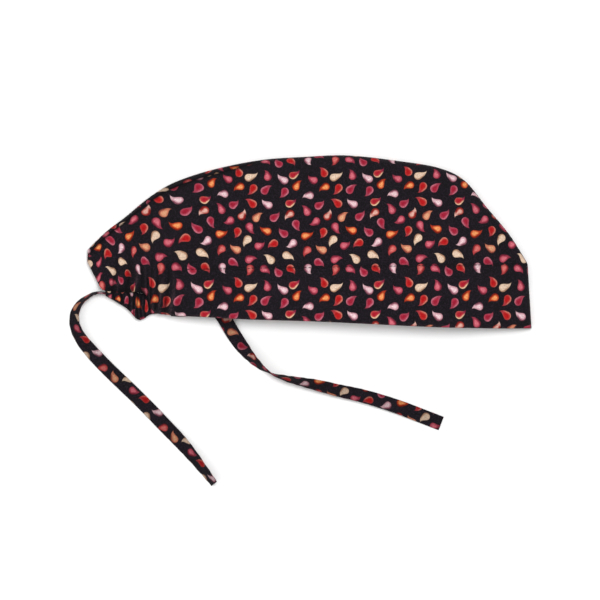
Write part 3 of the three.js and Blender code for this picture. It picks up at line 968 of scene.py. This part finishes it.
@dataclass
class NapeCasing:
    """The gathered casing at the nape: a tunnel of cloth, puckered where a tie draws it together."""

    middle_z: float = 5.2
    puckers: float = 11.0
    depth: float = 0.46
    gather: float = 2.0
    girth: float = 36.0
    along_steps: int = 240
    around_steps: int = 96

    def build(self) -> bpy.types.Object:
        """Makes the tunnel: an oval between its two edges, its height drawn in at each pucker."""
        t = np.linspace(0.0, 1.0, self.along_steps)
        table = np.array([(s.x, s.outer_y, s.inner_y, s.half_height) for s in CASING_SECTIONS])
        x, outer_y, inner_y, half_height = catmull_rom(table, t * (len(table) - 1)).T
        turn = np.linspace(0.0, 2.0 * math.pi, self.around_steps, endpoint=False)[None, :]
        t, x = t[:, None], x[:, None]
        phase = self.puckers * t + 0.22 * np.sin(turn + 0.4) + 0.14 * np.sin(2.0 * turn + 7.0 * t)
        phase = phase + 0.18 * np.sin(9.0 * t + 1.0)
        back = np.abs(np.cos(math.pi * phase)) ** 0.7
        ends = smoothstep(t, 0.0, 0.12) * smoothstep(1.0 - t, 0.0, 0.05)
        swell = 1.06 + self.depth * ends * (back - 0.72)
        hemmed = 0.9 * bell(turn - math.pi * 0.86, 0.16) + 0.9 * bell(turn - math.pi * 1.14, 0.16)
        wide = 0.5 * (inner_y - outer_y)[:, None] * (1.0 + 0.02 * ends * (back - 0.72))
        y = 0.5 * (inner_y + outer_y)[:, None] + wide * np.cos(turn)
        z = self.middle_z + half_height[:, None] * np.sin(turn) * swell
        z = z + 0.35 * hemmed * np.sign(np.sin(turn))
        sway = 0.5 * np.sin(turn) * (back - 0.7) * ends
        rings = np.stack([np.broadcast_to(x, y.shape) + sway, y, z], axis=-1)
        run = self.gather * (x - x[0]) + 12.0
        around = np.linspace(0.0, self.girth, self.around_steps + 1)[None, :] - 4.0
        chart = PRINT.squares(*np.broadcast_arrays(run, around))
        # Painted shade in the pucker valleys and along the tucked-in side under the panel's rolled edge;
        # painted highlights along the curled outer edge and on the pucker ridges.
        pucker_shade = (1.0 - back) ** 1.6 * ends
        tucked = np.maximum(bell(turn, 0.85), bell(turn - 2.0 * math.pi, 0.85))
        rub_and_highlight = 0.8 * bell(turn - math.pi, 0.14) + 0.5 * (back > 0.97) * ends
        wear_and_painted_light = rub_and_highlight - np.maximum(1.25 * pucker_shade, tucked)
        piece = tube(rings, chart, wear_and_painted_light).to_object("nape_casing_cloth")
        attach(piece, "root")
        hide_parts("nape_casing")
        return piece


@dataclass(frozen=True)
class TapePoint:
    """A place on a tie's route: its middle in plan, its lean from flat and its lower edge's height."""

    x: float
    y: float
    lean: float
    lift: float


BACK_TIE_ROUTE = (
    TapePoint(-141.9, -36.1, lean=86, lift=0),
    TapePoint(-146.6, -35.4, lean=84, lift=0),
    TapePoint(-151.6, -36.6, lean=79, lift=0),
    TapePoint(-157.5, -40.4, lean=70, lift=0),
    TapePoint(-162.2, -45.6, lean=57, lift=0),
    TapePoint(-164.2, -52.0, lean=47, lift=0),
    TapePoint(-163.8, -58.3, lean=41, lift=0),
    TapePoint(-161.0, -65.3, lean=33, lift=0),
    TapePoint(-156.1, -72.3, lean=21, lift=0),
    TapePoint(-148.8, -80.7, lean=10, lift=0),
    TapePoint(-140.4, -89.4, lean=4, lift=0),
    TapePoint(-131.3, -98.2, lean=0, lift=0),
    TapePoint(-121.5, -107.6, lean=0, lift=0),
    TapePoint(-111.7, -117.4, lean=0, lift=0),
    TapePoint(-101.9, -127.6, lean=4, lift=0),
    TapePoint(-92.1, -137.7, lean=14, lift=0),
    TapePoint(-83.0, -147.9, lean=32, lift=0),
    TapePoint(-74.6, -158.4, lean=48, lift=0),
    TapePoint(-66.5, -168.9, lean=60, lift=0),
)

RIM_TIE_ROUTE = (
    TapePoint(-96.4, -46.9, lean=0, lift=4.1),
    TapePoint(-89.0, -47.3, lean=0, lift=3.5),
    TapePoint(-81.0, -46.4, lean=0, lift=3.1),
    TapePoint(-73.2, -45.2, lean=0, lift=3.1),
    TapePoint(-66.6, -46.6, lean=0, lift=3.1),
    TapePoint(-62.0, -50.2, lean=0, lift=3.1),
    TapePoint(-58.6, -55.0, lean=2, lift=3.1),
    TapePoint(-55.3, -60.8, lean=4, lift=1.3),
    TapePoint(-51.5, -67.0, lean=9, lift=0.2),
    TapePoint(-46.9, -73.3, lean=25, lift=0),
    TapePoint(-41.7, -79.6, lean=45, lift=0),
    TapePoint(-35.4, -85.9, lean=62, lift=0),
    TapePoint(-27.0, -91.7, lean=88, lift=0),
    TapePoint(-17.9, -94.9, lean=108, lift=0),
    TapePoint(-6.7, -97.5, lean=122, lift=0),
    TapePoint(6.0, -100.3, lean=138, lift=0),
    TapePoint(20.0, -103.8, lean=147, lift=0),
    TapePoint(34.0, -106.9, lean=154, lift=0),
    TapePoint(48.0, -110.8, lean=159, lift=0),
    TapePoint(63.4, -115.9, lean=166, lift=0),
    TapePoint(77.4, -121.3, lean=175, lift=0),
    TapePoint(92.1, -127.0, lean=180, lift=0),
)


@dataclass(frozen=True)
class PrintStrip:
    """The strip of the print on one face of a tie: its start along the print and its middle, in squares."""

    start: float
    middle: float


@dataclass
class Tie:
    """A flat tie: a tape of folded cloth carried along its route, turning about its middle line."""

    node: str
    route: tuple[TapePoint, ...]
    top: PrintStrip
    under: PrintStrip
    width: float = 10.0
    cloth: float = 1.2
    clearance: float = 0.3
    step: float = 0.9

    def _profile(self) -> np.ndarray:
        """Places across and through the tape: rounded edges, and a groove where it is sewn shut."""
        turn = np.linspace(0.0, 2.0 * math.pi, 56, endpoint=False)
        across = np.sign(np.cos(turn)) * np.abs(np.cos(turn)) ** 0.55
        through = np.sign(np.sin(turn)) * np.abs(np.sin(turn)) ** 0.5
        sewn = 1.0 - 0.5 * bell(across - 0.70, 0.07) - 0.18 * bell(across + 0.05, 0.5)
        return np.stack([across * self.width / 2.0, through * sewn * self.cloth / 2.0], axis=1)

    def build(self) -> bpy.types.Object:
        lean = np.radians([p.lean for p in self.route])
        down = self.width / 2.0 * np.abs(np.sin(lean)) + self.cloth / 2.0 * np.abs(np.cos(lean))
        lift = np.array([p.lift for p in self.route]) + self.clearance + down
        knots = np.column_stack([[p.x for p in self.route], [p.y for p in self.route], lift])
        fine = np.linspace(0.0, len(knots) - 1.0, 1500)
        run = np.concatenate(
            [[0.0], np.cumsum(np.linalg.norm(np.diff(catmull_rom(knots, fine), axis=0), axis=1))]
        )
        length = run[-1]
        along = np.linspace(0.0, length, round(length / self.step))
        at = np.interp(along, run, fine)
        middle = catmull_rom(knots, at)
        turn = catmull_rom(np.column_stack([np.arange(len(lean)), lean]), at)[:, 1]
        forward = np.gradient(middle, axis=0)
        forward /= np.linalg.norm(forward, axis=1, keepdims=True)
        flat = np.cross(UP, forward)
        flat /= np.linalg.norm(flat, axis=1, keepdims=True)
        across = flat * np.cos(turn)[:, None] + np.cross(forward, flat) * np.sin(turn)[:, None]
        through = np.cross(forward, across)
        profile = self._profile()
        wave = 0.14 * np.sin(along * 0.75 + 1.4 * np.sin(along * 0.17))
        ripple = wave[:, None] * (profile[None, :, 0] / 5.0) ** 2
        rings = (
            middle[:, None, :]
            + across[:, None, :] * profile[None, :, :1]
            + through[:, None, :] * (profile[None, :, 1] + ripple)[..., None]
        )
        rings[..., 2] = np.maximum(rings[..., 2], 0.05)
        girth = np.vstack([profile, profile[:1]])
        around = np.concatenate([[0.0], np.cumsum(np.linalg.norm(np.diff(girth, axis=0), axis=1))])
        quarter = around[-1] / 4.0
        down_print = (quarter - around[None, :]) / PRINT.square + self.top.middle
        along_print = along[:, None] / PRINT.square + self.top.start
        chart = np.stack(np.broadcast_arrays(along_print, down_print), axis=-1)
        other = np.array([self.under.start - self.top.start, self.under.middle - self.top.middle])
        other[1] += 2.0 * quarter / PRINT.square
        patch = np.where((np.arange(len(profile)) < len(profile) // 2)[:, None], 0.0, other)
        # Lighter cloth along both folded edges of the tape: worn cloth and a painted highlight.
        wear_and_painted_light = 0.7 * bell(np.abs(profile[:, 0]) - self.width / 2.0, 0.35)
        piece = tube(rings, chart, wear_and_painted_light[None, :], patch).to_object(f"{self.node}_tape")
        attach(piece, "root")
        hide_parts(self.node)
        path = middle[:: max(1, len(middle) // 60)]
        path = np.vstack([path, middle[-1:]])
        return piece


Colour = tuple[float, float, float]


def shade(colour: Colour, strength: float = 1.0) -> tuple[float, float, float, float]:
    """A colour made lighter or darker, as the four numbers that a socket takes."""
    return (*[c * strength for c in colour], 1.0)


class NodeGraph:
    """A material's shader graph, with short ways to add its nodes."""

    def __init__(self, name: str) -> None:
        """Starts an empty material of that name."""
        self.material = bpy.data.materials.new(name)
        self.material.use_nodes = True
        self.tree = self.material.node_tree
        self.tree.nodes.clear()

    def add(self, kind: str, inputs: dict | None = None, **settings: object) -> bpy.types.Node:
        """Adds a node.

        Args:
            kind: Blender's name for the node type.
            inputs: Values or sockets for the node's inputs, by name or number.
            settings: The node's own properties.

        Returns:
            The new node.
        """
        node = self.tree.nodes.new(kind)
        for key, value in settings.items():
            setattr(node, key, value)
        for key, value in (inputs or {}).items():
            if isinstance(value, bpy.types.NodeSocket):
                self.tree.links.new(value, node.inputs[key])
            else:
                node.inputs[key].default_value = value
        return node

    def math(self, operation: str, *values: object) -> bpy.types.NodeSocket:
        """One arithmetic step on numbers or sockets."""
        return self.add("ShaderNodeMath", dict(enumerate(values)), operation=operation).outputs[0]

    def noise(self, scale: float, detail: float) -> bpy.types.NodeSocket:
        """Fine unevenness from 0 to 1, fixed to the object."""
        place = self.add("ShaderNodeTexCoord").outputs["Object"]
        node = self.add("ShaderNodeTexNoise", {"Vector": place, "Scale": scale, "Detail": detail})
        return node.outputs["Fac"]

    def attribute(self, name: str, output: str) -> bpy.types.NodeSocket:
        """One of the mesh's own attributes."""
        node = self.add("ShaderNodeAttribute", attribute_name=name, attribute_type="GEOMETRY")
        return node.outputs[output]

    def ramp_between(self, value: bpy.types.NodeSocket, low: float, high: float) -> bpy.types.NodeSocket:
        """An S-curve from 0 at low to 1 at high."""
        inputs = {"Value": value, "From Min": low, "From Max": high}
        node = self.add("ShaderNodeMapRange", inputs, interpolation_type="SMOOTHSTEP")
        return node.outputs["Result"]

    def blend(self, share: object, first: object, second: object, way: str = "MIX") -> bpy.types.NodeSocket:
        """Mixes two colours."""
        node = self.add("ShaderNodeMix", data_type="RGBA", blend_type=way)
        for index, value in ((0, share), (6, first), (7, second)):
            if isinstance(value, bpy.types.NodeSocket):
                self.tree.links.new(value, node.inputs[index])
            else:
                node.inputs[index].default_value = value
        return node.outputs[2]

    def pick(self, number: bpy.types.NodeSocket, colours: list) -> bpy.types.NodeSocket:
        """The colour with that number from a list."""
        place = self.math("DIVIDE", self.math("ADD", number, 0.5), float(len(colours)))
        node = self.add("ShaderNodeValToRGB", {"Fac": place})
        ramp = node.color_ramp
        ramp.interpolation = "CONSTANT"
        ramp.elements[0].color = (*colours[0], 1.0)
        ramp.elements.remove(ramp.elements[1])
        for index, colour in enumerate(colours[1:], start=1):
            ramp.elements.new(index / len(colours)).color = (*colour, 1.0)
        return node.outputs["Color"]

    def finish(self, shader: bpy.types.NodeSocket) -> bpy.types.Material:
        """Joins the shader to the output and returns the material."""
        self.add("ShaderNodeOutputMaterial", {"Surface": shader})
        return self.material


@dataclass(frozen=True)
class DropColours:
    """Colours of one drop: its outline, its body, its middle and its tail."""

    rim: Colour
    body: Colour
    core: Colour
    tail: Colour


DROP_COLOURS = {
    K.CREAM: DropColours(
        rim=(0.40, 0.25, 0.14), body=(0.70, 0.57, 0.37),
        core=(0.76, 0.64, 0.43), tail=(0.68, 0.55, 0.36),
    ),
    K.BLUSH: DropColours(
        rim=(0.20, 0.07, 0.09), body=(0.54, 0.30, 0.32),
        core=(0.82, 0.66, 0.62), tail=(0.68, 0.48, 0.47),
    ),
    K.ROSE: DropColours(
        rim=(0.17, 0.018, 0.034), body=(0.40, 0.058, 0.085),
        core=(0.64, 0.165, 0.190), tail=(0.30, 0.040, 0.064),
    ),
    K.CRIMSON: DropColours(
        rim=(0.50, 0.150, 0.185), body=(0.38, 0.050, 0.078),
        core=(0.32, 0.014, 0.034), tail=(0.32, 0.052, 0.080),
    ),
    K.SCARLET: DropColours(
        rim=(0.56, 0.18, 0.12), body=(0.46, 0.034, 0.028),
        core=(0.42, 0.009, 0.010), tail=(0.36, 0.042, 0.048),
    ),
    K.CRESCENT: DropColours(
        rim=(0.74, 0.53, 0.30), body=(0.48, 0.062, 0.056),
        core=(0.38, 0.012, 0.024), tail=(0.24, 0.020, 0.052),
    ),
    K.ORANGE: DropColours(
        rim=(0.20, 0.015, 0.006), body=(0.50, 0.066, 0.016),
        core=(0.86, 0.36, 0.115), tail=(0.40, 0.040, 0.012),
    ),
    K.PEACH: DropColours(
        rim=(0.26, 0.068, 0.040), body=(0.58, 0.22, 0.115),
        core=(0.72, 0.40, 0.20), tail=(0.54, 0.20, 0.105),
    ),
    K.FLAME: DropColours(
        rim=(0.20, 0.011, 0.010), body=(0.38, 0.050, 0.032),
        core=(0.72, 0.44, 0.33), tail=(0.72, 0.46, 0.35),
    ),
    K.CORAL: DropColours(
        rim=(0.20, 0.020, 0.022), body=(0.48, 0.072, 0.064),
        core=(0.66, 0.180, 0.145), tail=(0.40, 0.050, 0.048),
    ),
}


@dataclass(frozen=True)
class PrintedCotton:
    """Black woven cotton with the printed drops, matte with a slight bloom at grazing angles."""

    name: str
    ground: Colour = (0.0070, 0.0054, 0.0076)
    wrong_side: Colour = (0.022, 0.018, 0.022)
    # Colour of worn edges and of painted highlights.
    worn_and_painted_light: Colour = (0.078, 0.044, 0.052)
    roughness: float = 0.88
    sheen: float = 0.03
    weave: float = 0.75
    thin_dye: Colour = (0.66, 0.57, 0.64)
    full_dye: Colour = (1.07, 0.95, 1.06)
    dye: float = 1.0

    def _drop(self, graph: NodeGraph, place: bpy.types.NodeSocket, code: bpy.types.NodeSocket) -> tuple:
        """The drop's colour and where it covers the ground: the chart's own formula for its outline.

        Args:
            graph: The material's graph.
            place: The place in the drop, along and across it.
            code: The number of its colouring, with its length as a fraction.

        Returns:
            The sockets of the colour and of the cover.
        """
        kind = graph.math("FLOOR", code)
        fraction = graph.math("SUBTRACT", code, kind)
        length = graph.math("ADD", graph.math("MULTIPLY", fraction, PRINT.spare), PRINT.shortest)
        split = graph.add("ShaderNodeSeparateXYZ", {0: place})
        x, y = split.outputs[0], split.outputs[1]
        t = graph.math("MINIMUM", graph.math("MAXIMUM", graph.math("DIVIDE", x, length), 0.0), 1.0)
        waning = graph.math("MULTIPLY", graph.math("SUBTRACT", 1.0, t), BOW_SCALE * PRINT.bow)
        bowed = graph.math("MULTIPLY", graph.math("MULTIPLY", t, t), waning)
        off = graph.math("ADD", y, bowed)
        beyond = graph.math("MAXIMUM", graph.math("SUBTRACT", x, length), 0.0)
        past = graph.math("ADD", graph.math("MINIMUM", x, 0.0), beyond)
        square = graph.math("ADD", graph.math("MULTIPLY", past, past), graph.math("MULTIPLY", off, off))
        narrow = graph.math("SUBTRACT", 1.0, graph.math("POWER", t, PRINT.swell))
        half = graph.math("MULTIPLY", graph.math("POWER", narrow, PRINT.taper), PRINT.radius)
        depth = graph.math("SUBTRACT", half, graph.math("SQRT", square))
        cover = graph.ramp_between(depth, -0.30, 0.45)
        inner = graph.math("ADD", depth, graph.math("MULTIPLY", off, 0.26))
        rims, bodies, cores, tails = (
            graph.pick(kind, [getattr(DROP_COLOURS[k], part) for k in K])
            for part in ("rim", "body", "core", "tail")
        )
        colour = graph.blend(graph.ramp_between(inner, 0.2, 1.2), rims, bodies)
        colour = graph.blend(graph.ramp_between(inner, 1.1, 2.9), colour, cores)
        colour = graph.blend(graph.ramp_between(t, 0.30, 0.75), colour, tails)
        return colour, cover

    def build(self) -> bpy.types.Material:
        """Builds the material: drops over the ground, uneven dye, worn edges and painted highlights,
        painted shade in folds, a weave and a bloom.
        """
        graph = NodeGraph(self.name)
        drop = graph.attribute("drop", "Vector")
        number = graph.add("ShaderNodeSeparateXYZ", {0: drop}).outputs[2]
        wrong = graph.math("GREATER_THAN", number, WRONG_SIDE - 0.5)
        code = graph.math("SUBTRACT", number, graph.math("MULTIPLY", wrong, WRONG_SIDE))
        colour, cover = self._drop(graph, drop, code)

        uneven, grain = graph.noise(scale=55.0, detail=3.0), graph.noise(scale=1300.0, detail=2.0)
        ground = graph.blend(uneven, shade(self.ground, 0.70), shade(self.ground, 1.40))
        ground = graph.blend(graph.ramp_between(grain, 0.45, 0.80), ground, shade(self.ground, 3.2))
        thin, full = shade(self.thin_dye, self.dye), shade(self.full_dye, self.dye)
        soaked = graph.blend(graph.ramp_between(grain, 0.25, 0.75), thin, full)
        printed = graph.blend(cover, ground, graph.blend(1.0, colour, soaked, "MULTIPLY"))
        # The per-vertex attribute lightens towards the worn colour for worn edges and painted highlights,
        # and darkens towards a deeper black for painted shade in folds and under overhangs.
        wear_and_painted_light = graph.attribute("wear_and_painted_light", "Fac")
        rub_and_highlight = graph.math("MULTIPLY", graph.math("MAXIMUM", wear_and_painted_light, 0.0), graph.ramp_between(grain, 0.3, 0.7))
        printed = graph.blend(graph.math("MULTIPLY", rub_and_highlight, 0.5), printed, shade(self.worn_and_painted_light))
        crease_shade_mix = graph.math("MULTIPLY", graph.math("MINIMUM", graph.math("MULTIPLY", wear_and_painted_light, -1.0), 1.0), 0.88)
        printed = graph.blend(graph.math("MAXIMUM", crease_shade_mix, 0.0), printed, shade(self.ground, 0.35))
        back = graph.blend(0.22, shade(self.wrong_side), printed)
        base = graph.blend(wrong, printed, back)

        uv = graph.add("ShaderNodeUVMap", uv_map="cloth").outputs[0]
        threads = graph.add("ShaderNodeSeparateXYZ", {0: uv})
        wave = [
            graph.math("SINE", graph.math("MULTIPLY", threads.outputs[axis], 2.0 * math.pi / self.weave))
            for axis in (0, 1)
        ]
        woven = graph.math("MULTIPLY", wave[0], wave[1])
        height = graph.math("ADD", woven, graph.math("MULTIPLY", grain, 0.8))
        bump = graph.add("ShaderNodeBump", {"Height": height, "Strength": 0.35, "Distance": 0.00008})
        shader = graph.add(
            "ShaderNodeBsdfPrincipled",
            {
                "Base Color": base,
                "Roughness": self.roughness,
                "Specular IOR Level": 0.08,
                "Sheen Weight": self.sheen,
                "Sheen Roughness": 0.5,
                "Sheen Tint": (0.8, 0.72, 0.75, 1.0),
                "Normal": bump.outputs[0],
            },
        )
        return graph.finish(shader.outputs[0])


@dataclass
class Topstitching:
    """The row of stitches that holds the hem, one short raised thread after another."""

    panel: Side
    stitch: float = 2.1
    gap: float = 0.7
    thread: float = 0.22
    from_x: float = -84.0
    to_x: float = 150.0
    left_height: float = 0.5
    sides: int = 6

    def build(self) -> bpy.types.Object:
        """Makes all stitches as one mesh: each a small tube that dips into the cloth at both ends."""
        x = np.arange(self.from_x, self.to_x, self.stitch + self.gap)
        t = np.linspace(-1.0, 1.0, 6)
        along_x = (x[:, None] + t[None, :] * self.stitch / 2.0).ravel()
        y = FORM.stitch_y(along_x)
        z = self._height(along_x, y)
        rise = np.tile(self.thread * (0.75 - 1.3 * t**4), len(x))
        out = 1.0 if self.panel is Side.RIGHT else -1.0
        middle = np.column_stack([along_x, y, z + out * rise]).reshape(len(x), len(t), 3)
        turn = np.linspace(0.0, 2.0 * math.pi, self.sides, endpoint=False)
        ring = np.column_stack([np.zeros(self.sides), np.cos(turn), np.sin(turn)]) * self.thread
        taper = np.sqrt(1.0 - 0.9 * t**4)
        points = middle[:, :, None, :] + ring[None, None] * taper[None, :, None, None]
        each = len(t) * self.sides
        quads = np.concatenate([self._tube_quads(len(t), self.sides) + k * each for k in range(len(x))])
        surface = ClothSurface(
            points=points.reshape(-1, 3),
            quads=quads,
            chart=np.zeros((len(x) * each, 2)),
            inside=np.zeros(len(quads), bool),
        ).facing_out()
        side = "right" if self.panel is Side.RIGHT else "left"
        piece = surface.to_object(f"{side}_hem_stitches")
        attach(piece, "root")
        return piece

    def _height(self, x: np.ndarray, y: np.ndarray) -> np.ndarray:
        """Height of the panel's outer face under places on the stitching line."""
        if self.panel is Side.LEFT:
            return np.full_like(x, self.left_height)
        rows = np.linspace(FORM.hem_start - 0.6, FORM.last, 1500)
        edge, seam = FORM.edge(rows), FORM.seam(rows)
        crossing = (FORM.stitch_y(edge[:, 0]) - edge[:, 1]) / (seam[:, 1] - edge[:, 1])
        place = edge + (seam - edge) * crossing[:, None]
        row = np.interp(x, place[:, 0], rows)
        share = np.interp(x, place[:, 0], crossing)
        grid = FORM.plan(row, share[:, None], 0.0)
        return FORM.upper(grid, 0.0)[:, 0]

    @staticmethod
    def _tube_quads(rings: int, sides: int) -> np.ndarray:
        """Faces of a six-sided tube, with its two ends closed by pairs of quads."""
        i, j = np.meshgrid(np.arange(rings - 1), np.arange(sides), indexing="ij")
        a, b = (i * sides + j).ravel(), (i * sides + (j + 1) % sides).ravel()
        last = (rings - 1) * sides
        first_end = np.array([[0, 1, 2, 3], [0, 3, 4, 5]])
        ends = np.concatenate([first_end, last + first_end[:, ::-1]])
        return np.concatenate([np.stack([a, a + sides, b + sides, b], axis=1), ends])


@dataclass(frozen=True)
class Thread:
    """Black sewing thread: a little smoother than the cloth, with a fine twist."""

    name: str = "sewing_thread"
    colour: Colour = (0.0085, 0.0075, 0.0095)

    def build(self) -> bpy.types.Material:
        """Builds the material."""
        graph = NodeGraph(self.name)
        twist = graph.noise(scale=2400.0, detail=2.0)
        colour = graph.blend(twist, shade(self.colour, 0.6), shade(self.colour, 1.8))
        bump = graph.add("ShaderNodeBump", {"Height": twist, "Strength": 0.4, "Distance": 0.0001})
        shader = graph.add(
            "ShaderNodeBsdfPrincipled",
            {
                "Base Color": colour,
                "Roughness": 0.75,
                "Specular IOR Level": 0.12,
                "Normal": bump.outputs[0],
            },
        )
        return graph.finish(shader.outputs[0])


@dataclass(frozen=True)
class StudioLight:
    """A square soft light that looks at the cap: its place and size in metres, and its watts."""

    name: str
    place: tuple[float, float, float]
    size: float
    watts: float

    def build(self) -> None:
        """Hangs the light, turned towards the origin."""
        data = bpy.data.lights.new(self.name, "AREA")
        data.size = self.size
        data.energy = self.watts
        lamp = bpy.data.objects.new(self.name, data)
        lamp.location = self.place
        x, y, z = self.place
        lamp.rotation_euler = (math.atan2(math.hypot(x, y), z), 0.0, math.atan2(x, -y))
        bpy.context.scene.collection.objects.link(lamp)


@dataclass(frozen=True)
class Stage:
    """The pale floor, the soft light and the camera straight above."""

    floor_colour: Colour = (0.90, 0.90, 0.90)
    frame_mm: float = 420.0
    centre_x: float = -6.65
    centre_y: float = -40.6
    lens: float = 160.0
    sensor: float = 36.0
    far: float = 20.0
    sky: float = 0.36
    floor_half: float = 1.6
    floor_z: float = -0.00002
    lights: tuple[StudioLight, ...] = (
        StudioLight("key", (0.12, 0.20, 1.60), size=0.55, watts=20.0),
        StudioLight("fill", (-0.60, -0.35, 1.30), size=1.2, watts=5.5),
    )

    def build(self) -> None:
        """Lays the floor, hangs the lights and points the camera."""
        self._floor()
        for light in self.lights:
            light.build()
        world = bpy.data.worlds.new("studio")
        world.use_nodes = True
        background = world.node_tree.nodes["Background"]
        background.inputs["Color"].default_value = (1.0, 1.0, 1.0, 1.0)
        background.inputs["Strength"].default_value = self.sky
        bpy.context.scene.world = world
        camera = bpy.data.cameras.new("camera")
        camera.lens = self.lens
        camera.sensor_width = self.sensor
        camera.clip_end = self.far
        rig = bpy.data.objects.new("camera", camera)
        height = self.frame_mm * self.lens / self.sensor
        rig.location = (self.centre_x * MM, self.centre_y * MM, height * MM)
        bpy.context.scene.collection.objects.link(rig)
        bpy.context.scene.camera = rig
        bpy.context.scene.view_settings.view_transform = "Standard"

    def _floor(self) -> None:
        """A wide pale sheet just under the cap."""
        half = self.floor_half
        mesh = bpy.data.meshes.new("floor")
        corners = [(x * half, y * half, self.floor_z) for x, y in ((-1, -1), (1, -1), (1, 1), (-1, 1))]
        mesh.from_pydata(corners, [], [(0, 1, 2, 3)])
        floor = bpy.data.objects.new("floor", mesh)
        bpy.context.scene.collection.objects.link(floor)
        graph = NodeGraph("pale_floor")
        mottle = graph.noise(scale=3.0, detail=2.0)
        colour = graph.blend(mottle, shade(self.floor_colour, 0.985), shade(self.floor_colour))
        shader = graph.add("ShaderNodeBsdfPrincipled", {"Base Color": colour, "Roughness": 0.9})
        mesh.materials.append(graph.finish(shader.outputs[0]))


def main() -> None:
    """Builds the pieces in order, dresses them and sets the stage."""
    logging.basicConfig(level=logging.INFO, format="%(message)s")
    cotton = PrintedCotton("printed_cotton").build()
    tape = PrintedCotton("cotton_tape", roughness=0.92, sheen=0.02, dye=0.62).build()
    thread = Thread().build()
    dressed = [
        (SidePanel(Side.RIGHT).build(), cotton),
        (SidePanel(Side.LEFT).build(), cotton),
        (CentreSeam().build(), cotton),
        (RimHem().build(), cotton),
        (NapeCasing().build(), cotton),
        (Tie("back_tie", BACK_TIE_ROUTE, PrintStrip(-9.0, 25.0), PrintStrip(8.0, 65.0)).build(), tape),
        (Tie("rim_tie", RIM_TIE_ROUTE, PrintStrip(-28.1, 55.0), PrintStrip(-0.5, 32.0)).build(), tape),
        (Topstitching(Side.RIGHT).build(), thread),
        (Topstitching(Side.LEFT).build(), thread),
    ]
    for piece, material in dressed:
        piece.data.materials.append(material)
        LOG.info("%s: %d faces, %s", piece.name, len(piece.data.polygons), material.name)
    Stage().build()


if __name__ == "__main__":
    main()
